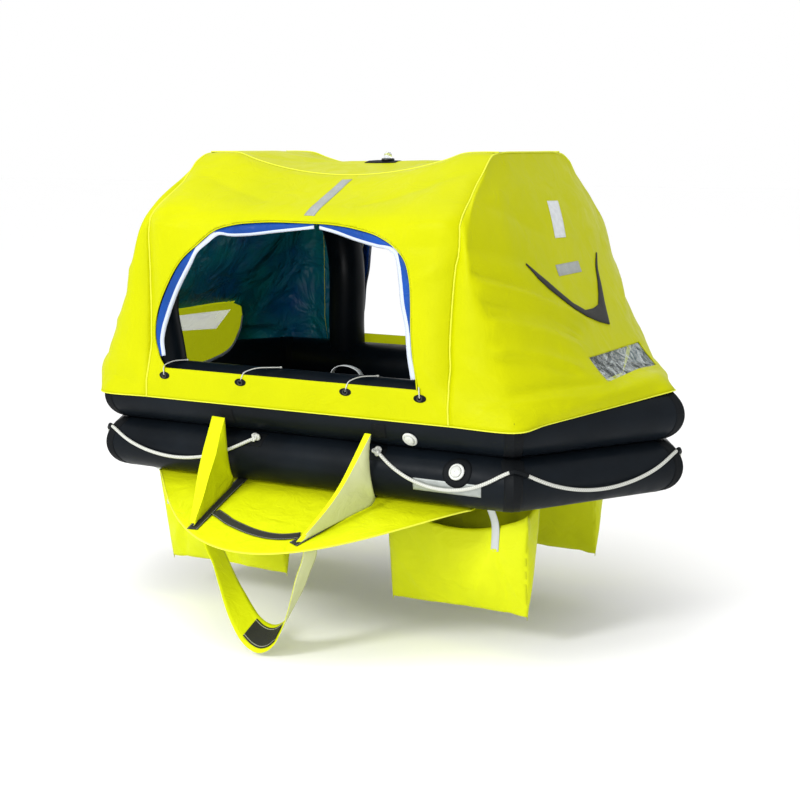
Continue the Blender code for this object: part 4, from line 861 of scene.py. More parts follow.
def end_grid(left):
    """Rows from the roof down, columns from the front seam to the back seam."""
    seam = np.array(front[:, 0] * MIRROR_X if left else front[:, -1])[::-1]
    arc = run_of(seam)
    arc = arc / arc[-1]
    xt, yt, zt = seam[0]
    kx = [7.10, 7.82, 8.55, 9.25, 9.80, 9.85] if left else [6.84, 7.20, 7.95, 8.42, 8.85, 9.00]
    cols = [
        [(xt, yt * 0.90, zt)]
        + list(zip(kx, (-6.28, -6.50, -6.52, -6.55, -6.60, -6.65), (10.00, 8.10, 6.30, 4.95, 3.95, 3.50)))
        + [tube_out(0.0)],
        [(xt, yt * 0.66, zt), (7.35, -4.30, 10.05), (8.12, -4.35, 8.10), (9.02, -3.95, 6.35),
         (9.88, -3.35, 5.25), (10.62, -3.20, 4.35), (10.86, -3.35, 3.92), tube_out(0.46)],
        [(xt, yt * 0.33, zt), (7.50, -2.20, 10.05), (8.22, -2.20, 8.10), (9.18, -2.10, 6.35),
         (9.92, -1.80, 5.25), (10.74, -1.65, 4.37), (11.35, -1.70, 4.20), tube_out(0.74)],
        [(xt, 0.0, zt), (7.52, 0.0, 10.05), (8.24, 0.0, 8.10), (9.20, 0.0, 6.35),
         (9.93, 0.0, 5.25), (10.85, 0.0, 4.55), (11.80, 0.0, 4.42), tube_out(1.0, 0.05)],
    ]
    sampled = [ease(DOWN_SHARES, c, arc) for c in cols]
    rows = []
    for r in range(len(seam)):
        half = [seam[r]] + [c[r] for c in sampled]
        rows.append(bspline(half + [p * MIRROR_Y for p in half[:-1]][::-1], ROOF_COLS))
    rows = np.array(rows)
    rows[0] = roof[:, -1]
    base = [np.array([seam_x(FOOT_Z), -FOOT_Y, FOOT_Z])] + [tube_out(s, 0.05 * s ** 6) for s in BASE_SHARES]
    rows[-1] = np.array(base + [p * MIRROR_Y for p in base[:-1]][::-1])
    rows[:, 0], rows[:, -1] = seam, seam * MIRROR_Y
    rows[1:-1] = clear_of(rows[1:-1], TOP_Z, OFF + 0.03)
    return rows * MIRROR_X if left else rows


def knee_in(grid):
    """The back knee at the right hangs a little lower on its arch, so the cloth there lies further in."""
    x, y, z = grid[..., 0], grid[..., 1], grid[..., 2]
    k = np.exp(-((z - 10.4) / 0.9) ** 2) * np.clip((x - 4.4) / 1.4, 0, 1) * np.clip((y - 2.6) / 2.4, 0, 1)
    return np.stack([x - 0.10 * k, y - 0.26 * k, z], axis=-1)


ends = {"right": knee_in(end_grid(False)), "left": end_grid(True)}
back, roof = knee_in(back), knee_in(roof)
print("end grids", ends["right"].shape)

# %% [markdown]
# Loose cloth between two held edges falls into folds that run from one held point to another. Each fold
# is given here by its two ends, its width and its height, and it moves the cloth along its own normal
# with a crest that is sharper than its flanks, as a real crease is. A low, slow noise takes away the
# last of the regularity. Edges that are sewn stay where they are.

# %% Refining and creasing the panels
ROW_STEP = 0.13      # about the distance between two rows of a refined panel
FOLD_GAIN = 0.80     # how much of its full height a fold keeps in cloth that is stretched


def refine(grid, row_knots=None):
    """The same surface on a finer grid; both edges of every panel are divided in the same way."""
    rows, cols = grid.shape[:2]
    rk = np.arange(rows, dtype=float) if row_knots is None else np.asarray(row_knots, float)
    ck = np.arange(cols, dtype=float)
    ra = [rk[0]]
    for i in range(rows - 1):
        span = rk[i + 1] - rk[i]
        if row_knots is None:
            span = np.linalg.norm(grid[i + 1] - grid[i], axis=1).mean()
        k = max(2, int(round(span / ROW_STEP)))
        ra += [rk[i] + (rk[i + 1] - rk[i]) * j / k for j in range(1, k + 1)]
    ca = np.linspace(0, cols - 1, (cols - 1) * 8 + 1)
    out = ease(rk, grid, ra)
    return ease(ck, out.transpose(1, 0, 2), ca).transpose(1, 0, 2)


def facing_out(points):
    """The normals of a grid, on the side that faces away from the raft's middle."""
    n = normals_of(points)
    lean = points.reshape(-1, 3).mean(axis=0) - np.array([0.0, 0.0, 5.0])
    return n if (n.reshape(-1, 3).mean(axis=0) @ lean) > 0 else -n


def creased(points, folds, rough=0.030, held=0.55, seed=0.0):
    """Points moved along their normals by folds [(start, end, width, height)] and by slow noise."""
    n = facing_out(points)
    move = np.zeros(points.shape[:2])
    for a, b, width, height in folds:
        a, b = np.array(a, float), np.array(b, float)
        d = b - a
        t = np.clip(((points - a) @ d) / (d @ d), 0, 1)
        off = points - (a + t[..., None] * d)
        # the gap to the fold's line is taken along the cloth, since the line may run behind it
        gap = np.linalg.norm(off - np.sum(off * n, axis=2)[..., None] * n, axis=2)
        w = width * (0.55 + 0.45 * np.sin(math.pi * t))
        core = np.sqrt(gap ** 2 + (0.30 * w) ** 2) - 0.30 * w
        fade = 0.35 + 0.65 * np.sin(math.pi * np.clip(t, 0.02, 0.98)) ** 0.5
        move += FOLD_GAIN * height * np.exp(-core / w) * fade
    slow = np.array([[noise.fractal(Vector((p[0] * 0.45 + seed, p[1] * 0.45, p[2] * 0.30)), 0.9, 2.1, 3)
                      for p in row] for row in points])
    move += rough * slow
    rows, cols = move.shape
    r = np.minimum(np.arange(rows), np.arange(rows)[::-1])[:, None] * 0.13
    c = np.minimum(np.arange(cols), np.arange(cols)[::-1])[None] * 0.11
    move *= np.clip(np.minimum(r, c) / held, 0, 1) ** 0.7
    return points + n * move[..., None]


UP_KNOTS = run_of(front[:, -1])
DOWN_KNOTS = UP_KNOTS[-1] - UP_KNOTS[::-1]
FRONT_FOLDS = [
    ((-6.7, -6.5, 10.0), (-4.6, -6.3, 10.35), 0.16, -0.10), ((-6.6, -6.6, 9.75), (-4.9, -6.5, 9.6), 0.16, 0.09),
    ((-6.8, -6.6, 8.2), (-6.75, -6.6, 6.2), 0.22, -0.10), ((-6.9, -6.6, 5.9), (-6.1, -6.6, 4.9), 0.20, 0.10),
    ((-6.4, -6.6, 5.4), (-6.2, -6.6, 3.6), 0.18, -0.09), ((4.4, -6.4, 9.9), (6.6, -6.5, 10.1), 0.18, 0.09),
    ((4.5, -6.5, 9.2), (6.6, -6.55, 9.3), 0.20, -0.09), ((4.9, -6.6, 7.9), (6.3, -6.6, 8.6), 0.18, 0.07),
    ((5.1, -6.6, 5.2), (6.3, -6.6, 4.2), 0.18, 0.08), ((5.0, -6.6, 4.6), (6.1, -6.6, 3.4), 0.16, -0.07),
    ((-5.8, -4.2, 11.4), (-2.0, -5.2, 10.7), 0.35, -0.10), ((5.8, -4.2, 11.6), (2.2, -5.4, 10.6), 0.35, -0.10),
    ((-3.0, -6.6, 3.2), (-2.2, -6.6, 4.2), 0.16, 0.05), ((1.2, -6.6, 3.2), (2.3, -6.6, 4.1), 0.16, 0.05),
]
ROOF_FOLDS = [
    ((-5.6, -2.6, 12.2), (-1.5, 0.2, 11.9), 0.5, -0.08), ((5.6, -2.4, 12.2), (2.2, 0.4, 11.9), 0.5, -0.08),
    ((-5.4, 2.6, 12.2), (-2.0, 0.3, 11.9), 0.5, -0.08),
]
END_FOLDS = [
    ((6.6, -6.3, 7.9), (9.4, -1.0, 6.4), 0.20, 0.22), ((6.5, -6.4, 7.4), (9.3, -2.0, 6.0), 0.16, -0.22),
    ((6.5, -6.5, 6.7), (9.6, -2.6, 5.6), 0.24, 0.12), ((6.5, -6.5, 6.2), (9.9, -3.0, 5.2), 0.18, -0.10),
    ((6.9, -6.2, 9.2), (7.9, -3.4, 8.6), 0.30, -0.10), ((6.6, -5.6, 8.6), (9.0, -1.2, 7.3), 0.20, 0.07),
    ((8.6, -6.5, 4.3), (10.7, -3.0, 4.5), 0.20, -0.20), ((8.4, -6.5, 3.9), (10.2, -4.0, 3.9), 0.18, 0.16),
    ((6.5, -6.5, 7.0), (9.5, -2.3, 5.9), 0.12, -0.18), ((6.6, -6.5, 5.9), (9.9, -3.4, 4.9), 0.14, 0.18),
    ((6.8, -6.3, 8.4), (8.9, -2.4, 7.0), 0.16, -0.16), ((7.0, -6.4, 5.6), (9.9, -3.6, 4.7), 0.13, -0.17),
    ((6.6, -6.6, 5.3), (8.9, -6.0, 4.4), 0.22, 0.08), ((7.0, -4.6, 10.6), (7.5, -1.6, 9.4), 0.30, -0.08),
    ((7.1, 5.6, 10.2), (8.0, 3.0, 8.4), 0.30, -0.10), ((6.7, 6.3, 8.0), (9.2, 3.2, 6.4), 0.22, 0.11),
    ((6.6, 6.4, 7.2), (9.7, 3.0, 5.6), 0.20, -0.11), ((7.2, 6.5, 6.0), (10.0, 3.4, 4.9), 0.22, 0.10),
    ((8.6, 6.4, 4.2), (10.8, 2.6, 4.6), 0.20, -0.09),
]


def half_turned(folds):
    """The same folds on the opposite side of the raft."""
    k = np.array([-1.0, -1.0, 1.0])
    return [(np.array(a) * k, np.array(b) * k, w, h) for a, b, w, h in folds]


cloths = {
    "canopy_front": creased(refine(front, UP_KNOTS), FRONT_FOLDS),
    "canopy_back": creased(refine(back, DOWN_KNOTS), half_turned(FRONT_FOLDS), seed=9.0),
    "canopy_roof": creased(refine(roof), ROOF_FOLDS, seed=4.0),
    "canopy_end_right": creased(refine(ends["right"], DOWN_KNOTS), END_FOLDS, seed=2.0),
    "canopy_end_left": creased(refine(ends["left"], DOWN_KNOTS), half_turned(END_FOLDS), seed=6.0),
}

SEAM_IN, SEAM_REACH = 0.17, 0.95    # how deep a seam is drawn in, and how far from it the cloth follows


def soften_seam(a, col_a, turn_a, b, col_b):
    """Rounds the fold between two panels: both are drawn in near the seam by the same vector a row."""
    pa = cloths[a][::-1] if turn_a else cloths[a]
    pb = cloths[b]
    ia, ib = (3 if col_a == 0 else -4), (3 if col_b == 0 else -4)
    pull = -SEAM_IN * (facing_out(pa)[:, ia] + facing_out(pb)[:, ib])
    z = pa[:, col_a, 2]
    pull *= (np.clip((z - 3.7) / 1.2, 0, 1) * np.clip((12.3 - z) / 0.8, 0.25, 1))[:, None]
    for grid, col in ((pa, col_a), (pb, col_b)):
        gap = np.linalg.norm(grid - grid[:, col][:, None], axis=2)
        k = np.clip(1 - gap / SEAM_REACH, 0, 1) ** 2
        grid += pull[:, None] * k[..., None]


soften_seam("canopy_front", -1, True, "canopy_end_right", 0)
soften_seam("canopy_front", 0, True, "canopy_end_left", 0)
soften_seam("canopy_back", -1, False, "canopy_end_right", -1)
soften_seam("canopy_back", 0, False, "canopy_end_left", -1)
for tag in ("right", "left"):
    grid = cloths["canopy_end_" + tag]
    grid[:-1] = clear_of(grid[:-1], TOP_Z, OFF + 0.004)
    grid[-1] = clear_of(grid[-1], TOP_Z, OFF - 0.004)
print({k: v.shape[:2] for k, v in cloths.items()})

# %% [markdown]
# Each panel is made as an open sheet, faced outward, and thickened inward by 3 mm, so that its back can
# take the teal lining. A tree of its faces is kept first: rays cast on it later say exactly where a
# label, tape or gutter lies on the cloth.

# %% Canopy panels
CABIN_MIDDLE = Vector((0, 0, 0.4))    # metres
skins, panels = {}, {}
for name, points in cloths.items():
    bm = faced(sheet(points), lambda f: (f.calc_center_median() - CABIN_MIDDLE).dot(f.normal))
    skins[name] = BVHTree.FromBMesh(bm)
    panels[name] = piece(name + "_cloth", bm, [canopy_nylon, lining_nylon], [name])
    thicken(panels[name], 0.003, lining=True)
    settle(panels[name])


def on_skin(panel, start, way):
    """Where a ray from start, in tube radii, meets a panel, and the panel's normal there."""
    hit, n, _, _ = skins[panel].ray_cast(spot_m(*start), Vector(way).normalized())
    if hit is None:
        hit, n, _, _ = skins[panel].find_nearest(spot_m(*start))
    if n.dot(Vector(way)) > 0:
        n = -n
    p = np.array(hit)
    p[2] += DRAFT
    return p / R, np.array(n)


def patch_grid(panel, left, right, nr, nc, lift, cast, bulge=0.0):
    """Points on a panel between two borders given as (a, b) pairs; cast(a, b) gives a ray for each."""
    a, b = np.array(left, float), np.array(right, float)
    ka = np.linspace(0, 1, len(a))
    out = np.empty((nr, nc, 3))
    for i, t in enumerate(np.linspace(0, 1, nr)):
        p, q = (np.array([np.interp(t, ka, side[:, k]) for k in (0, 1)]) for side in (a, b))
        for j, u in enumerate(np.linspace(0, 1, nc)):
            where, n = on_skin(panel, *cast(*(p * (1 - u) + q * u)))
            rise = lift + bulge * math.sin(math.pi * u) * math.sin(math.pi * min(max(t, 0.04), 0.96))
            out[i, j] = where + n * rise
    return out


def end_ray(side):
    return lambda y, z: ((20.0 * side, y, z), (-side, 0, 0))


def roof_ray(x, y):
    return (x, y, 20.0), (0, 0, -1)


# %% [markdown]
# The doorway is cut out of the thickened panel with a closed prism. Its outline was read off the
# photograph; a smooth curve through those points removes the corners. The back doorway is the front one
# turned half round, and a little narrower, to match what shows of it through the front doorway.

# %% Doorways
DOOR = [(-5.93, 4.22), (-6.20, 4.62), (-6.38, 5.25), (-6.38, 5.85), (-6.26, 6.35), (-5.75, 7.45),
        (-4.95, 8.55), (-4.35, 9.02), (-3.50, 9.62), (-2.70, 9.83), (-1.70, 9.93), (0.40, 9.95),
        (1.40, 9.93), (2.60, 9.80), (3.62, 9.55), (4.25, 9.22), (4.72, 8.72), (4.92, 8.05),
        (4.98, 7.20), (4.99, 6.30), (5.07, 5.35), (5.20, 4.60), (5.24, 4.22)]
BACK_DOOR = [(-x if x > 0 else -0.93 * x, z) for x, z in DOOR]


def flat_prism(corners, lift):
    """A closed prism: one face on the corners, extruded by lift. Both are in tube radii."""
    bm = bmesh.new()
    face = bm.faces.new([bm.verts.new(spot_m(*c)) for c in corners])
    made = bmesh.ops.extrude_face_region(bm, geom=[face])
    far_side = [g for g in made["geom"] if isinstance(g, bmesh.types.BMVert)]
    bmesh.ops.translate(bm, vec=Vector(lift) * R, verts=far_side)
    return bm


def cloth_area(points):
    """Area in square metres of a grid of cloth."""
    p = metres(points)
    crosses = np.cross(p[1:, 1:] - p[:-1, :-1], p[1:, :-1] - p[:-1, 1:])
    return 0.5 * float(np.linalg.norm(crosses, axis=2).sum())


def paint_inside(name, test):
    """Inner faces for which the test holds take the yellow cloth with the painted glow in place of the lining.
    """
    panels[name].data.materials.append(painted_glow_nylon)
    for f in panels[name].data.polygons:
        x, y, z = f.center
        if f.material_index == 1 and test(x / R, y / R, (z + DRAFT) / R):
            f.material_index = 2


door_lines = {}
for tag, outline, y in (("front", DOOR, -1), ("back", BACK_DOOR, 1)):
    curve = even([(x, 0, z) for x, z in outline], 0.12)[:, [0, 2]]
    door_lines[tag] = curve
    cut_away(panels["canopy_" + tag], flat_prism([(x, 7.7 * y, z) for x, z in curve], (0, -2.6 * y, 0)))
paint_inside("canopy_back", lambda x, y, z: abs(x) < 5.6 and z < 4.75)
for tag in ("right", "left"):
    paint_inside("canopy_end_" + tag, lambda x, y, z: abs(y) < 3.0 and 3.2 < z < 5.8)
print("door edge", round(length_of(np.array(door_lines["front"])) * R, 2), "m")

held_up_by = {"front": ["inflated_arch_right", "inflated_arch_left"], "back": ["inflated_arch_right"],
              "roof": ["inflated_ridge_spar"], "end_right": ["inflated_arch_right"],
              "end_left": ["inflated_arch_left"]}
for name, rests in held_up_by.items():
    grid = cloths["canopy_" + name]
    area = cloth_area(grid)
    if name in door_lines:
        x, z = np.array(door_lines[name]).T * R
        area -= 0.5 * abs(float(x @ np.roll(z, 1) - z @ np.roll(x, 1)))    # the doorway's
    long = max(length_of(c) for c in grid.transpose(1, 0, 2)[::6]) * R

# %% [markdown]
# A window is a flat sheet of clear vinyl let into each end. The hole is cut with the same prism. The
# film could be the cloth that was cut out, but it gets a surface of its own, because vinyl keeps every
# fold it was packed with. Rays find the panel under each of its points, and it lies just behind it.

# %% End windows
WIN_HALF = 2.45
WIN_TOP, WIN_LOW = np.array([9.93, 5.25]), np.array([10.75, 4.35])
WIN_WAY = (WIN_LOW - WIN_TOP) / np.linalg.norm(WIN_LOW - WIN_TOP)
WIN_LEN = np.linalg.norm(WIN_LOW - WIN_TOP)


def win_point(side, y, share, lift):
    """A point on the window's slope, at a share of its length, lifted off it."""
    p = WIN_TOP + WIN_WAY * share * WIN_LEN + np.array([-WIN_WAY[1], WIN_WAY[0]]) * lift
    return np.array([side * p[0], y, p[1]])


for tag, side in (("right", 1), ("left", -1)):
    # the left hole is wider and reaches higher, as it shows through the doorway
    far, high = (WIN_HALF, 0.04) if side > 0 else (WIN_HALF + 0.6, -0.32)
    corners = [(-WIN_HALF, high), (far, high), (far, 0.96), (-WIN_HALF, 0.96)]
    low = [win_point(side, y, a, -1.0) for y, a in corners]
    lift = win_point(side, 0, 0, 1.0) - win_point(side, 0, 0, -1.0)
    cut_away(panels["canopy_end_" + tag], flat_prism(low, lift))
    pane = np.empty((15, 61, 3))
    for i, a in enumerate(np.linspace(high - 0.04, 1.0, 15)):
        for j, y in enumerate(np.linspace(-WIN_HALF - 0.05, far + 0.05, 61)):
            k = noise.fractal(Vector((y * 1.4, a * 2.2, 3.0 + side)), 0.8, 2.0, 5)
            # the crumples fade out towards the sewn edges
            e = min(1.0, 6 * max(a - high, 0) * (1 - a)) * min(1.0, (far + 0.05 - abs(y)) * 3)
            q = win_point(side, y, a, 0)
            hit, n = on_skin("canopy_end_" + tag, (20.0 * side, q[1], q[2]), (-side, 0, 0))
            pane[i, j] = hit + n * (-0.045 - 0.04 * e + 0.07 * k * e)
    look = film_look if side > 0 else smooth_film
    film = piece("window_film_" + tag, sheet(pane, 0.5), look, ["window_" + tag])
    thicken(film, 0.0006, 0.0)
print("windows", round(2 * WIN_HALF * R, 2), "m wide")

# %% [markdown]
# Seams. Where two canopy panels meet, their edges are turned in and sewn over a piping, which shows as a
# fine raised line. The same line, a little heavier, runs along the lower edge where the canopy is
# glued to the tube. Both are thin rolled cords of canopy cloth.

# %% Piping and hems
def seam_piping(name, lines, radius):
    cords = [rolled(line, radius, 8, up=(0.2, 0.3, 1)) for line in lines]
    # the cords take the paler yellow tape: a painted highlight along each raised seam
    piece(name, gather(cords), yellow_hem_painted_highlight)


piping, hems = [], []
for tag in ("right", "left"):
    grid = cloths["canopy_end_" + tag]
    piping += [grid[:, 0], grid[:, -1], grid[0]]
    hems.append(grid[-1])
piping += [cloths["canopy_roof"][0], cloths["canopy_roof"][-1]]
hems += [cloths["canopy_front"][0], cloths["canopy_back"][-1]]
seam_piping("canopy_piping", piping, 0.030)
seam_piping("canopy_lower_hem", [clear_of(h + np.array([0, 0, -0.01]), TOP_Z, 1.028) for h in hems], 0.022)

# %% [markdown]
# Two inflated arches carry the canopy. They are rolled from the same rubber as the tubes and stand on
# the upper tube. Only their legs show, black against the lining, through the doorways.

# %% Arches and ridge spar
ARCH_R, SPAR_R = 0.80, 0.40
ARCH_X = 5.56    # an arch's place along X, under the roof
ARCH_TOP = ROOF_Z - (ARCH_R + T + 0.03)
LEG_FOOT = TOP_Z + 0.45
UPRIGHT_LEG = [(5.42, 5.61, LEG_FOOT), (5.40, 5.48, 4.9), (5.30, 5.42, 6.6), (5.40, 5.45, 8.1)]
LEANING_LEG = [(6.45, 5.61, LEG_FOOT), (6.80, 5.48, 4.9), (7.18, 5.42, 6.4), (6.85, 5.42, 8.1)]
ARCHES = {
    "right": [(x, -y, z) for x, y, z in UPRIGHT_LEG]
             + [(5.84, -5.62, 9.72), (ARCH_X, -2.90, ARCH_TOP), (ARCH_X, 2.90, ARCH_TOP), (5.92, 5.28, 9.66),
                (6.52, 5.36, 8.1)] + LEANING_LEG[2::-1],
    "left": [(-x, -y, z) for x, y, z in LEANING_LEG]
            + [(-6.12, -5.55, 9.72), (-ARCH_X, -2.90, ARCH_TOP), (-ARCH_X, 2.90, ARCH_TOP), (-5.70, 5.62, 9.72)]
            + [(-x + 0.30, y, z) for x, y, z in UPRIGHT_LEG[::-1]],
}
for tag, full in ARCHES.items():
    line = even(rounded(full, [0, 0.6, 0.7, 0.7, 0.9, 0.8, 0.8, 0.9, 0.7, 0.7, 0.6, 0]), 0.22)
    # under the roof the arch sags a little in the middle, with the cloth on it
    line[:, 2] -= 0.15 * np.exp(-(line[:, 1] / 1.8) ** 2) * (line[:, 2] > 10)
    arch = rolled(line, ARCH_R - 0.004, 32, up=(1, 0, 0))
    piece("inflated_arch_" + tag, arch, tube_rubber, ["canopy_arch_" + tag])
SPAR_Z = ROOF_Z - RIDGE_SAG - T - SPAR_R - 0.10
SPAR_END = ARCH_X - ARCH_R - 0.0045
line = np.array([(x, 0, SPAR_Z) for x in np.linspace(-SPAR_END, SPAR_END, 60)])
past = ((np.abs(line[:, 0]) - SPAR_END + 0.35) / SPAR_R).clip(0)    # how far into the rounded end
radii = SPAR_R * np.minimum(1.0, np.sqrt(np.maximum(0.0, 1 - past ** 2)))
piece("inflated_ridge_spar", rolled(line, radii, 28), tube_rubber, ["ridge_spar"])

# %% [markdown]
# The doorway's edge is bound with a strip of the canopy's own cloth, and the door curtain is rolled back
# behind it in two halves. A roll of cloth isn't a sausage: it is flattened, it has a few lengthwise
# pleats, and the tie tapes pinch it. So its radius changes along its length and round its section. The
# white hem of the curtain shows as a band along its inner side.

# %% Door binding and rolled curtains
def front_y(x, z):
    """Where the front panel lies at x and z."""
    w = x / seam_x(z, x < 0)
    side, _ = side_line(slack(w))
    return float(np.interp(z, side[:, 2], side[:, 1]))


def inward(line, amount):
    """A door line moved towards the middle of the doorway, by one amount or one for each point."""
    line = np.array(line, float)
    d = np.gradient(line, axis=0)
    n = np.stack([d[:, 1], -d[:, 0]], axis=1) / np.linalg.norm(d, axis=1, keepdims=True)
    flip = np.sum(n * (np.array([0.0, 7.0]) - line), axis=1) < 0
    n[flip] *= -1
    return line + n * np.reshape(amount, (-1, 1))


BIND_R = 0.028
OVAL = 0.42    # a curtain's roll is this much thinner than it is wide
# where along the outline, as its point number, and how thick the roll is there
CURTAIN_ROLLS = {
    "left": [(1, 0.07), (2, 0.13), (3, 0.19), (4, 0.22), (5, 0.22), (6, 0.16), (6.7, 0.06), (7.4, 0.045),
             (8, 0.06), (8.7, 0.15), (9.5, 0.19), (10.3, 0.15), (11.3, 0.05)],
    "right": [(11.55, 0.05), (12.2, 0.10), (13, 0.17), (14, 0.15), (14.8, 0.055), (15.3, 0.045), (16, 0.13),
              (17, 0.17), (18, 0.15), (18.8, 0.07), (20, 0.05), (21, 0.045)],
}


def snug(r):
    """How far behind the binding an oval roll of half width r lies."""
    a = np.linspace(0, 2 * math.pi, 73)
    depth = 0.0
    while np.hypot(r + 0.030 + r * np.cos(a), depth + OVAL * r * np.sin(a)).min() < 0.050:
        depth += 0.002
    return depth


def pleated(share, around):
    """The roll's radius, in parts of its own, at a share of its length and an angle round it."""
    return 1 + 0.05 * np.cos(4 * around + 9 * share) + 0.03 * np.cos(7 * around - 14 * share)


for tag, outline, side in (("front", DOOR, 1), ("back", BACK_DOOR, -1)):
    line = inward(door_lines[tag], 0.035)
    path = np.array([(x, (front_y(x, z) + 0.012) * side, z) for x, z in line])
    fold = rolled(path, BIND_R, 12, flat=0.72, up=(0, 1, 0))
    piece("door_edge_binding_" + tag, fold, canopy_nylon, ["door_binding_" + tag])
    for half, spots in CURTAIN_ROLLS.items():
        places, radii = np.array(spots).T
        pts = np.array([
            np.array(outline[int(i)]) * (1 - i % 1) + np.array(outline[int(i) + 1]) * (i % 1) for i in places])
        knots = run_of(pts)
        at = np.linspace(0, knots[-1], int(knots[-1] / 0.10))
        r = ease(knots, radii, at)
        edge = ease(knots, inward(pts, 0.062), at)
        middle = ease(knots, inward(pts, 0.067 + radii), at)
        path = np.array([(x, (max(front_y(x, z), front_y(*e)) + 0.02 + snug(q)) * side, z)
                         for (x, z), e, q in zip(middle, edge, r)])
        roll = rolled(path, r * 0.98, 26, flat=OVAL, up=(0, 1, 0), wobble=pleated)
        roll = piece(f"door_curtain_roll_{tag}_{half}", roll, curtain_nylon, [f"door_curtain_{tag}_{half}"])
        rim = inward(middle, r * 0.93)
        aside = (inward(middle, 1.0) - middle)[:, [0, 0, 1]]
        way = np.gradient(middle, axis=0)
        upright = np.abs(way[:, 1]) / np.linalg.norm(way, axis=1)
        # the hem shows broader where the roll stands upright
        broad = (0.072 + 0.048 * upright)[:, None] * np.array([1.0, 0.0, 1.0])
        band = []
        for k in np.linspace(-1, 1, 5):
            y = path[:, 1] - side * (0.40 * r * (1 - abs(k)) + 0.006)
            band.append(np.stack([rim[:, 0], y, rim[:, 1]], axis=1) + k * aside * broad)
        hem = piece(f"door_curtain_hem_{tag}_{half}", sheet(np.stack(band, axis=1), knots[-1] * R),
                    white_hem)
        thicken(hem, 0.0012, 0.0)

# %% [markdown]
# Pieces that are glued or sewn to the ends: the gutter that catches rain in a V over each window, two
# reflective tapes and a blank label. Rays cast along X find the cloth under each point, so they follow
# its folds.

# %% Gutters, tapes and label on the ends
GUTTER_TOP = [(-3.62, 8.54), (-3.10, 8.12), (-2.60, 7.76), (-2.05, 7.38), (-1.45, 6.98), (-0.70, 6.66),
              (0.05, 6.66), (0.70, 6.76), (1.22, 7.12), (1.75, 7.60), (2.15, 8.05), (2.74, 8.56)]
GUTTER_LOW = [(-3.64, 8.50), (-3.28, 8.00), (-2.74, 7.58), (-2.18, 7.20), (-1.56, 6.80), (-0.80, 6.46),
              (0.05, 6.18), (0.76, 6.02), (1.36, 6.80), (1.88, 7.44), (2.25, 7.98), (2.77, 8.52)]
LABEL = ([(-0.38, 10.64), (-0.78, 9.30)], [(0.60, 10.62), (0.20, 9.28)])
END_TAPE = ([(-1.46, 8.36), (-1.50, 7.96)], [(0.66, 8.38), (0.62, 7.98)])
ROOF_TAPE = ([(0.17, -3.35), (0.17, -6.02)], [(0.62, -3.35), (0.62, -6.02)])
for tag, side in (("right", 1), ("left", -1)):
    panel = "canopy_end_" + tag
    rows = np.array((GUTTER_TOP, GUTTER_LOW)) * (side, 1)
    v = patch_grid(panel, *rows, 67, 7, 0.012, end_ray(side), bulge=0.035)
    fold = piece("rain_gutter_fold_" + tag, sheet(v, 0.75), plain_webbing, ["rain_gutter_" + tag])
    thicken(fold, 0.004, 0.6)
    rows = np.array(END_TAPE) * (side, 1)
    t = patch_grid(panel, *rows, 4, 17, 0.008, end_ray(side))
    tape = piece("end_reflective_tape_" + tag, sheet(t, 0.04, 0.11), bead_tape, ["end_tape_" + tag])
    thicken(tape, 0.0008, 0.0)
t = patch_grid("canopy_end_right", *LABEL, 12, 9, 0.008, end_ray(1))
thicken(piece("blank_label", sheet(t, 0.13), label_film, ["label_plate"]), 0.0010, 0.0)
for tag, side in (("front", 1), ("back", -1)):
    t = patch_grid("canopy_" + tag, *np.array(ROOF_TAPE) * side, 31, 5, 0.008, roof_ray)
    tape = piece("roof_reflective_tape_" + tag, sheet(t, 0.30, 0.02), bead_tape, ["roof_tape_" + tag])
    thicken(tape, 0.0008, 0.0)

# %% [markdown]
# A lamp on the ridge lights itself in sea water. It is a small clear dome in a black moulded ring, on a
# rubber patch. The ring and dome are turned: half a profile is spun round the Z axis.

# %% Canopy lamp
def turned_shape(profile, steps=40, centre=(0, 0, 0), axis=(0, 0, 1)):
    """Profile points (radius, height) in tube radii, spun about Z, then set on centre along axis."""
    bm = bmesh.new()
    bm.loops.layers.uv.new("UVMap")
    line = [bm.verts.new((r * R, 0, h * R)) for r, h in profile]
    edges = [bm.edges.new(pair) for pair in zip(line[:-1], line[1:])]
    bmesh.ops.spin(
        bm, geom=line + edges, cent=(0, 0, 0), axis=(0, 0, 1), angle=2 * math.pi, steps=steps, use_merge=True)
    welded(bm)
    way = Vector(axis).to_track_quat("Z", "Y").to_matrix().to_4x4()
    bmesh.ops.transform(bm, matrix=Matrix.Translation(spot_m(*centre)) @ way, verts=bm.verts)
    return bm


under_lamp = patch_grid("canopy_roof", [(-0.62, -0.40), (-0.62, 0.40)], [(0.78, -0.40), (0.78, 0.40)],
                        15, 19, 0.012, roof_ray, bulge=0.03)
thicken(piece("lamp_rubber_patch", sheet(under_lamp, 0.08), patch_rubber, ["lamp_patch"]), 0.0015, 0.0)
ridge, _ = on_skin("canopy_roof", *roof_ray(0.23, 0))
ridge = ridge + np.array([0, 0, 0.035])
ring = [(0, 0), (0.25, 0), (0.26, 0.02), (0.26, 0.05), (0.24, 0.08), (0.17, 0.085), (0.17, 0.05), (0, 0.05)]
piece("lamp_base_ring", turned_shape(ring, centre=ridge), dark_plastic, sharp=40)
DOME_R = 0.165
dome = [(0, 0.06), (DOME_R, 0.06)]
dome += [(DOME_R * math.cos(a), 0.14 + 0.20 * math.sin(a)) for a in np.linspace(0, math.pi / 2, 10)]
piece("lamp_dome", turned_shape(dome, centre=ridge), dome_look, ["canopy_lamp"])
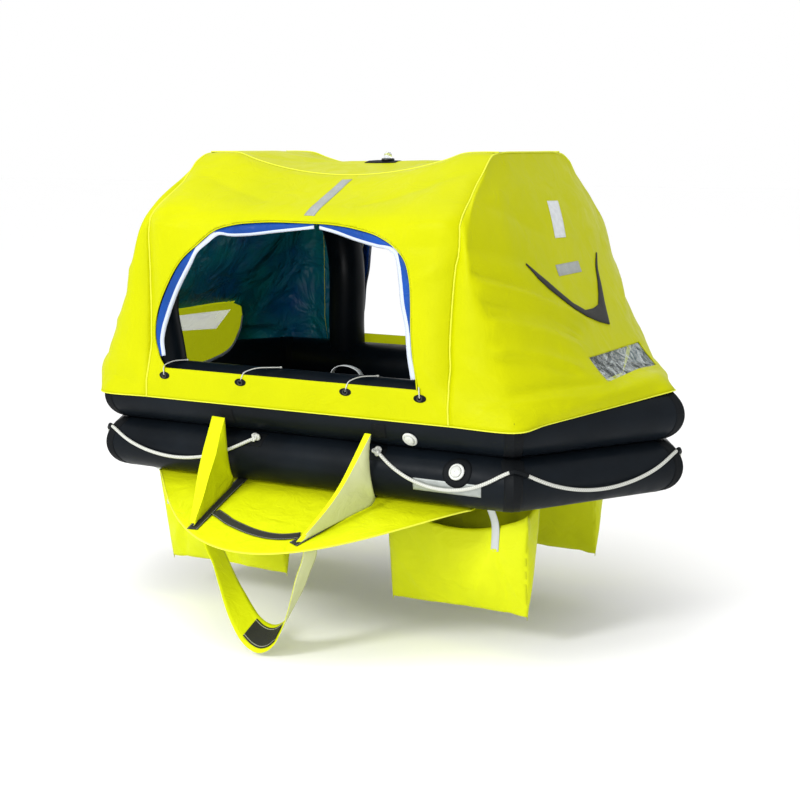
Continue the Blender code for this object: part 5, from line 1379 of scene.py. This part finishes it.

# %% [markdown]
# Behind each window hangs a flap of canopy cloth with its own opening, which is closed in bad weather.
# It is a sheet with a hole, hung a little loose. The daylight that comes through it is painted in: both
# of its sides take the yellow cloth with the painted glow. Only its loose lower edge has a white hem,
# since the upper one is sewn to the end.

# %% Window flaps
LOOSE_EDGE = [(3.35, 5.10), (3.20, 4.60), (2.45, 3.80), (1.20, 3.40), (0.0, 3.30), (-1.20, 3.40), (-2.45, 3.80)]
FLAP_REACH = 9.32    # the lower part hangs no further out than this


def flap_point(side, y, z, lift=0.0):
    """The flap follows the end's inside, and leaves it smoothly where it hangs free."""
    tag = "right" if side > 0 else "left"
    wall = abs(on_skin("canopy_end_" + tag, (20.0 * side, y, z), (-side, 0, 0))[0][0]) - T - 0.16
    x = -math.log(math.exp(-9 * wall) + math.exp(-9 * FLAP_REACH)) / 9
    return np.array([side * (x + lift + 0.04 * math.sin(y * 2.1) * (5.8 - z) / 2.5), y, z])


def flap_half(z):
    """Half the flap's width at height z."""
    zs = [3.30, 3.40, 3.80, 4.60, 5.10, 5.55, 5.80]
    ys = [0.02, 1.20, 2.45, 3.15, 3.35, 3.20, 2.40]
    return float(np.interp(z, zs, ys))


# the right flap has slipped down, so that its opening lies lower behind its window
FLAP_HOLES = {"right": [(-1.8, 5.15), (3.0, 5.15), (2.6, 3.95), (-1.8, 3.90)],
              "left": [(-2.6, 5.58), (2.45, 5.46), (1.35, 4.70), (0.6, 4.76), (-2.5, 4.96)]}
for tag, side in (("right", 1), ("left", -1)):
    rows = []
    for z in np.linspace(3.31, 5.79, 36):
        w = flap_half(z)
        rows.append([flap_point(side, y, z) for y in np.linspace(-w, w, 71)])
    bm = faced(sheet(np.array(rows)), lambda f: f.normal.x * side)
    # both sides of the flap take the cloth with the painted glow
    flap = piece("window_flap_cloth_" + tag, bm, [painted_glow_nylon, painted_glow_nylon], ["window_flap_" + tag])
    settle(thicken(flap, 0.002, lining=True))
    cut_away(flap, flat_prism([(side * 8.2, y, z) for y, z in FLAP_HOLES[tag]], (side * 1.8, 0, 0)))
    edge = even([(0, y, z) for y, z in LOOSE_EDGE], 0.12)[:, 1:]
    rim = rolled([flap_point(side, -y * side, z, -0.012) for y, z in edge], 0.075, 8, up=(1, 0, 0), flat=0.3)
    piece("window_flap_hem_" + tag, rim, white_hem)

# %% [markdown]
# The floor is a sheet of coated fabric glued to the lower tube. It could be one polygon, but a grid
# squeezed into the hexagon lets it sag a little between the tubes, and lets the weight of people show
# as a shallow, uneven surface.

# %% Floor
FLOOR_IN = 0.436    # the floor is glued on this far inside the middle of the tube


def half_width(x):
    """Half the floor's width at x."""
    return min(SIDE_Y - FLOOR_IN, (TIP_X - FLOOR_IN / OUT[0][0] - abs(x)) * abs(OUT[0][0] / OUT[0][1]))


reach = TIP_X - FLOOR_IN / OUT[0][0] - 0.02
rows = []
for x in np.linspace(-reach, reach, 121):
    h = half_width(x)
    row = []
    for v in np.linspace(-1, 1, 61):
        k = noise.fractal(Vector((x * 0.35, v * h * 0.35, 1.0)), 0.8, 2.0, 4)
        edge = min(1.0, (1 - abs(v)) * 6) * min(1.0, (reach - abs(x)) * 1.2)
        row.append((x, v * h, 0.145 + (0.035 * k - 0.02) * edge))
    rows.append(row)
floor_sheet = piece("floor_sheet", sheet(np.array(rows)), tube_rubber, ["floor"])
thicken(floor_sheet, 0.002, 0.0)

# %% [markdown]
# A half moon of cloth under the front tube helps a swimmer in: the boarding ramp. It is yellow on top
# and pale underneath, hangs slack between its gussets, and carries black webbing bands where it is
# loaded. The sheet is thickened downward, with the pale side as its second material.

# %% Boarding ramp
RAMP_X = 7.0    # half its width
RAMP_Y, RAMP_Z = -5.45, 0.006    # where it is sewn to the tube


def ramp_edge(x):
    """How far out and how low the ramp's front edge is at x."""
    k = max(0.0, 1.0 - (x / RAMP_X) ** 2)
    return -5.75 - 4.60 * k ** 1.15, -0.05 - 1.38 * k ** 1.3


def ramp_z(x, y):
    ye, ze = ramp_edge(x)
    s = min(max((RAMP_Y - y) / (RAMP_Y - ye), 0.0), 1.0)
    return RAMP_Z + (ze - RAMP_Z) * s ** 1.12


def ramp_sag(x, y, s):
    """Slow waves in the loose middle of the cloth."""
    k = noise.fractal(Vector((x * 0.5, y * 0.5, 7.0)), 0.8, 2.1, 3)
    return (0.035 * k - 0.03) * min(1.0, 5 * s * (1 - s)) * min(1.0, (RAMP_X - abs(x)) * 0.6)


rows = []
for s in np.linspace(0, 1, 40):
    row = []
    for w in np.linspace(-1, 1, 141):
        x = RAMP_X * w
        ye, _ = ramp_edge(x)
        y = RAMP_Y + (ye - RAMP_Y) * s
        row.append((x, y, ramp_z(x, y) + ramp_sag(x, y, s) - 0.012 * math.sin(math.pi * s)))
    rows.append(row)
bm = faced(sheet(np.array(rows)), lambda f: f.normal.z)
ramp_cloth = piece("boarding_ramp_cloth", bm, [ramp_nylon_painted_lit, reverse_nylon], ["boarding_ramp"])
thicken(ramp_cloth, 0.003, lining=True)
rim = [(x, ramp_edge(x)[0] - 0.005, ramp_edge(x)[1] - 0.018)
       for x in np.linspace(-RAMP_X + 0.05, RAMP_X - 0.05, 120)]
piece("boarding_ramp_hem", rolled(rim, 0.032, 8), yellow_hem_painted_highlight)


def ramp_band(name, line, half, node_name):
    """Webbing laid on the ramp along a line of x and y, half as wide as half says."""
    c = even([(x, y, 0) for x, y in line], 0.12)
    d = np.gradient(c, axis=0)
    d = d / np.linalg.norm(d, axis=1, keepdims=True)
    a = np.stack([-d[:, 1], d[:, 0], 0 * d[:, 0]], axis=1) * half
    across = [p + q * w for p, q in zip(c, a) for w in np.linspace(-1, 1, 7)]
    grid = np.array([(x, y, ramp_z(x, y) + 0.017) for x, y, _ in across]).reshape(len(c), 7, 3)
    band = sheet(grid, length_of(c) * R)
    return thicken(piece(name, band, black_webbing, [node_name]), 0.0016, 0.0)


# A gusset lies near the plane x = a + b y + c z, which leans a little. The left band runs along the foot
# of its gusset, and the right band beside it, as in the photograph.
GUSSET_PLANES = {"left": (-3.624, -0.1120, 0.0078), "right": (3.621, 0.1420, 0.2871)}


def gusset_x(tag, y, z):
    a, b, c = GUSSET_PLANES[tag]
    return a + b * y + c * z


def foot_x(tag, y):
    """Where a gusset's plane meets the ramp, found in a few rounds."""
    x = gusset_x(tag, y, -0.3)
    for _ in range(12):
        x = gusset_x(tag, y, ramp_z(x, y))
    return x


BAND_LINES = {"left": [(foot_x("left", y), y) for y in np.linspace(-5.62, -9.50, 9)],
              "right": [(2.84, -5.62), (2.66, -6.6), (2.45, -7.6), (2.16, -8.6), (1.82, -9.48)]}
for tag in ("left", "right"):
    ramp_band("ramp_webbing_" + tag, BAND_LINES[tag], 0.22, "ramp_band_" + tag)
BAND_CURVE = [(-2.46, -8.22), (-1.95, -8.46), (-1.56, -8.66), (-0.85, -8.91), (-0.26, -9.08), (0.27, -9.17),
              (0.80, -9.19), (1.24, -9.11), (1.52, -9.00), (1.74, -8.89)]
ramp_band("ramp_webbing_curved", BAND_CURVE, 0.19, "ramp_band_curved")

# %% [markdown]
# A gusset on each side keeps the ramp from folding down. It is one piece of cloth folded over a strap: a
# narrow front face, and a three-cornered side face that runs back to the tube. Both are laid as one grid
# whose middle column is the fold. Its pale side faces away from the middle of the raft.

# %% Ramp gussets and their tabs
GUSSETS = {
    "left": {
        "fold": [(-3.01, -6.76, 2.53), (-2.94, -7.17, 1.96), (-2.80, -7.64, 1.31), (-2.73, -8.20, 0.56),
                 (-2.64, -8.67, -0.07), (-2.58, -9.36, -0.94)],
        "out": [(-3.61, -6.74, 2.55), (-3.56, -7.05, 2.09), (-3.42, -7.68, 1.26), (-3.25, -8.23, 0.51),
                (-3.05, -8.70, -0.11), (-2.74, -9.42, -0.94)],
        "tube": [(-3.03, -6.72, 2.50), (-2.92, -6.79, 1.79), (-2.84, -6.82, 1.10), (-2.84, -6.66, 0.46),
                 (-2.95, -6.30, 0.04)],
        "foot": [(-2.99, -6.40), (-2.62, -9.34)]},
    "right": {
        "fold": [(3.40, -6.76, 2.50), (3.20, -7.36, 1.64), (2.98, -7.98, 0.79), (2.72, -8.42, 0.17),
                 (2.36, -8.90, -0.47), (1.98, -9.36, -1.06)],
        "out": [(3.18, -6.80, 2.52), (3.00, -7.38, 1.64), (2.82, -8.00, 0.79), (2.58, -8.44, 0.17),
                (2.24, -8.93, -0.47), (1.90, -9.40, -1.06)],
        "tube": [(3.37, -6.72, 2.48), (3.34, -6.79, 1.90), (3.38, -6.82, 1.20), (3.42, -6.66, 0.46),
                 (3.32, -6.30, 0.04)],
        "foot": [(3.28, -6.40), (2.04, -9.34)]},
}


def spread(line, n):
    """A line divided anew into n points, at even shares of its own points."""
    at = np.linspace(0, 1, n) * (len(line) - 1)
    return np.stack([np.interp(at, range(len(line)), line[:, k]) for k in range(3)], axis=1)


def gusset_rows(tag):
    """Rows from the top down, columns: tube edge, fold, outer edge of the strap."""
    lines = {k: even(v, 0.08) for k, v in GUSSETS[tag].items() if k != "foot"}
    (x0, y0), (x1, y1) = GUSSETS[tag]["foot"]
    # the foot's height is left to the ramp, which lifts every point that would lie under it
    lines["tube"] = np.vstack([lines["tube"], [
        (x0 + (x1 - x0) * k, y0 + (y1 - y0) * k, -9.0) for k in np.linspace(0, 1, 38)]])
    for line in lines.values():
        for q in line:
            if q[1] < -6.2:
                q[2] = max(q[2], ramp_z(q[0], q[1]) + 0.047)
    rows = []
    for t, a, b, c in zip(np.linspace(0, 1, 40), *(spread(lines[k], 40) for k in ("tube", "fold", "out"))):
        web = [a * (1 - k) + b * k for k in np.linspace(0, 1, 11)]
        for q in range(1, 10):
            belly = 0.05 * math.sin(math.pi * q / 10) * math.sin(2.4 * math.pi * t)
            web[q] = web[q] + np.array([belly, 0, 0])
        rows.append(web + [b * (1 - k) + c * k for k in (0.06, 0.35, 0.7, 1.0)])
    return np.array(rows)


for tag, side in (("left", -1), ("right", 1)):
    bm = faced(sheet(gusset_rows(tag)), lambda f: -f.normal.x * side)
    cloth = piece("ramp_gusset_cloth_" + tag, bm, [ramp_nylon_painted_lit, reverse_nylon, ramp_nylon_painted_lit],
                  ["ramp_gusset_" + tag], sharp=28)
    thicken(cloth, 0.0016, lining=True)
    if tag == "right":
        # the strap is sewn on the other way round here, so that its front is yellow too
        for f in cloth.data.polygons:
            f.material_index = int(abs(f.normal.y) > 0.6)
    x = gusset_x(tag, -6.72, 2.50)
    tab = np.array([[on_side(FRONT, front_share(x + a), 1.012 * math.cos(t), TOP_Z + 1.012 * math.sin(t))
                     for a in np.linspace(-0.27, 0.27, 7)] for t in np.radians(np.linspace(-6, -38, 15))])
    tab = piece("gusset_tube_tab_" + tag, sheet(tab, 0.06), patch_rubber, ["gusset_tab_" + tag])
    thicken(tab, 0.003, 1.0)

# %% [markdown]
# The boarding step is a wide stirrup of the same cloth, sewn under the ramp's front: yellow inside, pale
# outside, with a black grip patch where the foot goes. It swings on its two sewn ends, so it rides on
# its own body, and everything fixed to it rides with it.

# %% Boarding step
STEP_F = [(-1.66, -9.42, -2.45), (-1.40, -9.45, -3.20), (-1.10, -9.45, -4.05), (-0.55, -9.45, -5.00),
          (0.18, -9.45, -5.38), (0.88, -9.45, -5.00), (1.38, -9.45, -4.05), (1.64, -9.45, -3.20),
          (1.84, -9.42, -2.45)]
STEP_B = [(-1.76, -8.38, -2.45), (-1.42, -8.38, -3.05), (-1.00, -8.38, -3.65), (-0.42, -8.38, -4.38),
          (0.15, -8.38, -4.62), (0.68, -8.38, -4.38), (1.18, -8.38, -3.65), (1.52, -8.38, -3.05),
          (1.78, -8.38, -2.45)]
STEP_MIDDLE = np.array([0.15, -8.9, -2.5])    # a point inside the loop, which its yellow side faces


def step_end(x):
    """The loop's end at x, as a fan of lines that narrows to where it is sewn on."""
    out = []
    for a in (74, 52, 28, 0):
        t = math.radians(a)
        y, z = 0.45 * math.cos(t), -1.479 + 0.45 * math.sin(t)
        out.append(((x, -8.90 - y, z), (x, -8.90 + y, z)))
    return out


def step_grid(lift, t0=0.0, t1=1.0, n=17, ends=True, cols=9):
    """The loop, or its part between two shares, lifted off its middle surface towards the inside."""
    knots = np.linspace(0, 1, len(STEP_F))
    at = np.linspace(t0, t1, n)
    f, b = list(ease(knots, STEP_F, at)), list(ease(knots, STEP_B, at))
    if ends:
        left, right = step_end(-2.12), step_end(2.14)[::-1]
        f = [p[0] for p in left] + f + [p[0] for p in right]
        b = [p[1] for p in left] + b + [p[1] for p in right]
    f, b = np.array(f), np.array(b)
    d = run_of((f + b) / 2)
    at = np.linspace(0, d[-1], 8 * len(f))
    f, b = ease(d, f, at), ease(d, b, at)
    g = np.stack([f * (1 - k) + b * k for k in np.linspace(0, 1, cols)], axis=1)
    nrm = normals_of(g)
    flip = np.sum(nrm * (STEP_MIDDLE - g), axis=2) < 0
    nrm[flip] *= -1
    for spot in np.ndindex(*g.shape[:2]):
        g[spot] += nrm[spot] * (lift + 0.012 * noise.noise(Vector(g[spot] * 1.1)))
    return g


bm = faced(sheet(step_grid(-0.006)),
           lambda f: (spot_m(*STEP_MIDDLE) - f.calc_center_median()).dot(f.normal))
step = piece("boarding_step_cloth", bm, [ramp_nylon_painted_lit, reverse_nylon], ["step_loop"], body="boarding_step")
thicken(step, 0.002, lining=True)
foot_part = step_grid(0.02, 0.375, 0.625, 5, False, cols=29)[:, 4:25]
grip = piece("boarding_step_grip", sheet(foot_part, 0.30), black_webbing, ["step_grip"], body="boarding_step")
thicken(grip, 0.0024, 0.0)

# %% [markdown]
# Four ballast pockets hang from the floor and fill with water, so that the raft doesn't tip. Each is an
# open bag: a front and a back that meet along the bottom, and two three-cornered sides. The front is
# pulled by its strap and by its own corners, which gives it the soft slanting folds. The grid runs from
# the lip down to the bottom and up the back, and the sides are drawn in at both ends of it.

# %% Ballast pockets
POCKET_Y = -4.05    # the front lower edge of every pocket
# for each pocket: its quarter, its two ends along X, its bottom, where its strap leaves the tube and
# where the strap meets the cloth, and a seed for its noise
POCKETS = {
    "front_right": (1, 1, 2.78, 8.38, -4.40, 7.38, 7.34, 0.0),
    "front_left": (-1, 1, 2.10, 7.70, -4.20, 7.90, 7.42, 3.0),
    "back_right": (1, -1, 2.10, 7.70, -4.00, 7.42, 7.34, 5.0),
    "back_left": (-1, -1, 2.78, 8.38, -4.20, 7.38, 7.34, 8.0),
}


def lip_at(s):
    """The front lip at a share of the pocket's length: it dips between its two ends."""
    dip = math.sin(math.pi * s)
    return -4.60 + 0.06 * dip, -0.35 - 0.78 * dip ** 0.8


def pocket_point(s, t, bag):
    """s runs along X from 0 to 1, t from the lip (0) over the bottom (0.5) to the floor (1)."""
    x0, x1, z_low, seed = bag
    x = x0 + (x1 - x0) * s + 0.22 * s * abs(1 - 2 * t)
    ly, lz = lip_at(s)
    low = np.array([POCKET_Y, z_low + 0.10 * math.sin(math.pi * s)])
    if t < 0.5:
        k = t * 2
        p = np.array([ly, lz]) * (1 - k) + low * k
        p[0] -= 0.30 * math.sin(math.pi * k) * math.sin(math.pi * min(max(s, 0.0), 1.0)) ** 0.5
    else:
        k = (t - 0.5) * 2
        p = low * (1 - k) + np.array([-3.50 + 1.10 * math.sin(math.pi * s), 0.05]) * k
        p[0] += 0.12 * math.sin(math.pi * k)
    soft = min(1.0, t * 8) * min(1.0, (1 - t) * 8) * math.sin(math.pi * min(max(s, 0.02), 0.98)) ** 0.4
    w = noise.fractal(Vector((x * 0.55, p[0] * 0.5 + seed, p[1] * 0.45)), 0.9, 2.0, 3)
    p[0] += 0.10 * w * soft
    return np.array([x, p[0], p[1]])


# folds are given by how far they lie from the pocket's outer end
POCKET_FOLDS = [
    ((1.0, -4.5, -1.75), (0.25, -4.1, -3.4), 0.17, 0.13), ((1.05, -4.5, -1.9), (0.70, -4.2, -3.9), 0.20, -0.13),
    ((1.15, -4.5, -1.75), (2.2, -4.2, -4.0), 0.26, 0.13), ((1.6, -4.6, -1.9), (3.4, -4.3, -3.8), 0.30, -0.11),
    ((5.3, -4.6, -0.9), (3.7, -4.5, -2.9), 0.34, -0.11), ((5.4, -4.5, -2.2), (3.9, -4.3, -3.9), 0.30, 0.10),
    ((4.9, -4.1, -4.1), (2.6, -4.2, -4.1), 0.22, 0.08),
]


def pocket_side(bag, at):
    """A three-cornered side, between the front's edge and the back's edge, a little drawn in."""
    rows = []
    for k in np.linspace(0, 1, 17):
        a, b = pocket_point(at, 0.5 * k, bag), pocket_point(at, 1.0 - 0.5 * k, bag)
        row = []
        for u in np.linspace(0, 1, 11):
            p = a * (1 - u) + b * u
            arc = math.sin(math.pi * u)
            pull = 0.16 * arc * (1 - k) ** 0.5 - 0.20 * arc * math.sin(math.pi * k)
            p[0] += -pull if at > 0.5 else pull
            p[2] -= 0.22 * arc * (1 - k)
            row.append(p)
        rows.append(row)
    return np.array(rows)


def round_bottom(rows):
    """The bottom fold is soft: rows near it are drawn together a little."""
    for _ in range(2):
        rows[20:29] = (rows[19:28] + 2 * rows[20:29] + rows[21:30]) / 4
    return rows


for tag, (sx, sy, x0, x1, z_low, strap_top, strap_low, seed) in POCKETS.items():
    bag = (x0, x1, z_low, seed)
    grid = np.array([[pocket_point(s, t, bag) for s in np.linspace(0, 1, 57)] for t in np.linspace(0, 1, 49)])
    folds = [((x1 - a[0], *a[1:]), (x1 - b[0], *b[1:]), w, h) for a, b, w, h in POCKET_FOLDS]
    body = creased(round_bottom(grid), folds, rough=0.0, held=0.30)
    turn = np.array([sx, sy, 1.0])
    parts = [sheet(body * turn)] + [sheet(pocket_side(bag, at) * turn) for at in (0.0, 1.0)]
    bm = welded(gather(parts), 0.0012)
    pocket = piece("ballast_pocket_cloth_" + tag, bm, pocket_nylon_painted_lit, ["ballast_pocket_" + tag], sharp=50)
    thicken(pocket, 0.0022, 0.0)
    s = (strap_low - x0) / (x1 - x0)
    ly, lz = lip_at(s)
    k = (lz + 1.80) / (lz - z_low)
    ty = ly + (POCKET_Y - ly) * k - 0.30 * math.sin(math.pi * k) * math.sin(math.pi * s) ** 0.5
    line = even([(strap_top, -5.15, -0.05), (strap_low + 0.02, ly - 0.10, lz + 0.02),
                 (strap_low, ty - 0.07, -1.78)], 0.12)
    strap = sheet(ribbon(line, (0.15, 0, 0)) * turn, length_of(line) * R)
    thicken(piece("pocket_webbing_" + tag, strap, white_webbing, ["pocket_strap_" + tag]), 0.0018, 0.0)

# %% [markdown]
# Rubber patches hold the life line at each corner and take the load of its knots; a short sleeve goes
# over the rope. The patches are grids on the tube's surface, just clear of the seam bands.

# %% Rope patches
def tube_patch(i, s0, s1, deg0, deg1, centre, lift, ns=9, na=11):
    return np.array([[on_side(i, s, (1.0 + lift) * math.cos(t), centre + (1.0 + lift) * math.sin(t))
                      for t in np.radians(np.linspace(deg0, deg1, na))] for s in np.linspace(s0, s1, ns)])


patches = [sheet(corner_band(i, LOW_Z, 24, 62, half=0.42), 0.08) for i in range(6)]
spots = [(FRONT, front_share(x - 0.32), front_share(x + 0.32)) for x in (3.25, -1.80)] + [(BACK, 0.47, 0.53)]
for i, s0, s1 in spots:
    patches.append(sheet(tube_patch(i, s0, s1, 30, 66, LOW_Z, 0.006), 0.08))
thicken(piece("rope_patches", gather(patches), patch_rubber, sharp=40), 0.0018, 1.0)
sleeves = []
for tag, line in ropes.items():
    for corner in (0, 1, 2) if tag == "right" else (3, 4, 5):
        k = int(np.hypot(*(line[:, :2] - PLAN[corner]).T).argmin())
        sleeves.append(rolled(line[max(0, k - 2):k + 3], ROPE_R + 0.022, 14))
piece("rope_sleeves", gather(sleeves), patch_rubber)

# %% [markdown]
# Reflective tape round the lower tube, the two valves, the eyelets and the handle finish the front. A
# valve is turned like the lamp and set square on the tube. The one that fills the raft has a round
# rubber patch, because its hose pulls at it.

# %% Tube tapes, valves, eyelets and handle
for tag, i in (("front", FRONT), ("back", BACK)):
    t = tube_patch(i, front_share(4.71), front_share(7.24), 4.0, -22.0, LOW_Z, 0.006, 31, 9)
    tape = piece("tube_reflective_tape_" + tag, sheet(t, 0.30, 0.04), bead_tape, ["tube_tape_" + tag])
    thicken(tape, 0.0007, 1.0)


# a valve's profile: radius in parts of its own, and height
VALVE = [(0, 0), (1, 0), (1.06, 0.02), (1.06, 0.05), (0.96, 0.075), (0.80, 0.075), (0.76, 0.05), (0.70, 0.05),
         (0.68, 0.115), (0.60, 0.13), (0.15, 0.135), (0.12, 0.115), (0, 0.115)]


def valve(name, x, z, centre, size, node_name, ring=None):
    """A valve on the front of a tube, with a round patch of radius ring under it if one is given."""
    a = math.asin(z - centre)
    way = (0, -math.cos(a), math.sin(a))
    at = (x, -SIDE_Y - 1.004 * math.cos(a), centre + 1.004 * math.sin(a))
    shape = turned_shape([(r * size, h) for r, h in VALVE], 48, at, way)
    piece(name, shape, valve_plastic, [node_name], sharp=35)
    if ring:
        rows = []
        for r in np.linspace(0.30, ring, 4):
            rows.append([(x + r * math.cos(b), -SIDE_Y - 1.009 * math.cos(a + r * math.sin(b)),
                          centre + 1.009 * math.sin(a + r * math.sin(b)))
                         for b in np.linspace(0, 2 * math.pi, 49)])
        disc = sheet(np.array(rows), 0.1)
        bmesh.ops.remove_doubles(disc, verts=disc.verts, dist=0.00001)
        faced(disc, lambda f: -f.normal.y)
        thicken(piece(name + "_patch", disc, patch_rubber, sharp=40), 0.0012, 1.0)


valve("relief_valve_cap", 4.85, 2.42, TOP_Z, 0.27, "relief_valve")
valve("inflation_valve_cap", 6.75, 1.42, LOW_Z, 0.28, "inflation_valve", ring=0.56)

eyes, rings = [], []
for x in (-5.93, -2.34, 2.27, 5.32):
    at, n = on_skin("canopy_front", (x, -20, 3.92), (0, 1, 0))
    way = Vector(n)
    eyes.append(turned_shape([(0, 0.012), (0.155, 0.018), (0.165, 0.006), (0.165, -0.004)], 28, at, way))
    rings.append(turned_shape([(0.085 + 0.026 * math.cos(a), 0.03 + 0.02 * math.sin(a))
                               for a in np.linspace(0, 2 * math.pi, 13)], 28, at, way))
for bm in eyes:    # the patches are oval
    bmesh.ops.scale(bm, vec=(1.50, 1.0, 0.88), verts=bm.verts, space=Matrix.Translation(
        -sum((v.co for v in bm.verts), Vector()) / len(bm.verts)))
piece("eyelet_patches", gather(eyes), patch_rubber)
piece("eyelet_rings", gather(rings), dark_plastic)

handle = even([(0.72, -5.05, TOP_Z + 1.16), (0.76, -5.06, TOP_Z + 1.42), (1.02, -5.08, TOP_Z + 1.62),
               (1.46, -5.08, TOP_Z + 1.66), (1.90, -5.08, TOP_Z + 1.50), (2.12, -5.06, TOP_Z + 1.16)], 0.07)
handle = sheet(ribbon(handle, (0, 0.12, 0)), 0.2)
thicken(piece("sill_webbing_handle", handle, white_webbing, ["sill_handle"]), 0.0022, 0.0)

# %% [markdown]
# The gas bottle that inflates the raft is strapped under the floor. It doesn't show in the photograph,
# so it is a plain steel bottle with rounded ends and a brass valve head, turned about its own axis.

# %% Gas bottle
BOTTLE_Y, BOTTLE_Z = 0.6, 0.056 - 0.55    # its middle line; 0.55 is its radius
FOOT = (-2.1, BOTTLE_Y, BOTTLE_Z)
shell = [(0, 0.0), (0.20, 0.0), (0.34, 0.03), (0.46, 0.12), (0.53, 0.26), (0.55, 0.42), (0.55, 3.56),
         (0.53, 3.72), (0.46, 3.87), (0.34, 3.97), (0.22, 4.02), (0.17, 4.05), (0.15, 4.10), (0, 4.10)]
bottle = turned_shape([(r * 0.99, h) for r, h in shell], 48, FOOT, (1, 0, 0))
piece("gas_bottle_shell", bottle, bottle_paint, ["gas_bottle"], sharp=60)
head = [(0, 4.11), (0.13, 4.11), (0.13, 4.20), (0.20, 4.22), (0.20, 4.44), (0.17, 4.48), (0, 4.48)]
piece("gas_bottle_head", turned_shape(head, 6, FOOT, (1, 0, 0)), brass, sharp=30)
straps = []
for x in (-1.2, 0.9):
    loop = np.array([(x, BOTTLE_Y + 0.575 * math.cos(a), BOTTLE_Z + 0.575 * math.sin(a))
                     for a in np.linspace(-math.pi * 1.22, math.pi * 0.22, 40)])
    straps.append(sheet(ribbon(loop, (0.18, 0, 0)), 0.3))
thicken(piece("gas_bottle_straps", gather(straps), plain_webbing), 0.0015, 0.0)

# %% [markdown]
# The studio: a pale floor under the lowest piece, which is the hanging step, since the photograph shows
# the raft out of the water with its whole underside. A large soft key light stands at the front left and
# above, so the right end falls into soft shade, and a bright even world fills the rest. A weak light at
# the doorway shows the lining, as the daylight does that comes through real cloth.

# %% Floor and lights
STUDIO_Z = -0.60    # metres
ground = bmesh.new()
bmesh.ops.create_grid(ground, x_segments=1, y_segments=1, size=60.0)
bmesh.ops.translate(ground, vec=(0, 0, STUDIO_Z), verts=ground.verts)
mesh = bpy.data.meshes.new("studio_floor")
ground.to_mesh(mesh)
ground.free()
studio = placed("studio_floor", mesh)
paper, _ = start_look("matt_white_paper", "#FFFFFF", 0.9)
mesh.materials.append(paper)

world = bpy.data.worlds.new("studio_world")
bpy.context.scene.world = world
world.use_nodes = True
sky = world.node_tree.nodes["Background"].inputs
sky["Color"].default_value = (1, 1, 1, 1)
sky["Strength"].default_value = 1.0


def lamp(name, place, aim, size, power):
    light = bpy.data.lights.new(name, "AREA")
    light.shape, light.size, light.energy = "DISK", size, power
    thing = placed(name, light)
    thing.location = place
    thing.rotation_euler = (Vector(place) - Vector(aim)).to_track_quat("Z", "Y").to_euler()


lamp("key", (-1.5, -6.5, 3.5), (0, 0, 0.4), 1.9, 270.0)
lamp("top", (-0.5, -1.0, 6.0), (0, 0, 0.4), 4.0, 105.0)
lamp("cabin fill", (0.9, -5.0, 0.9), (-0.2, 0, 0.5), 1.6, 36.0)
print("lights set")
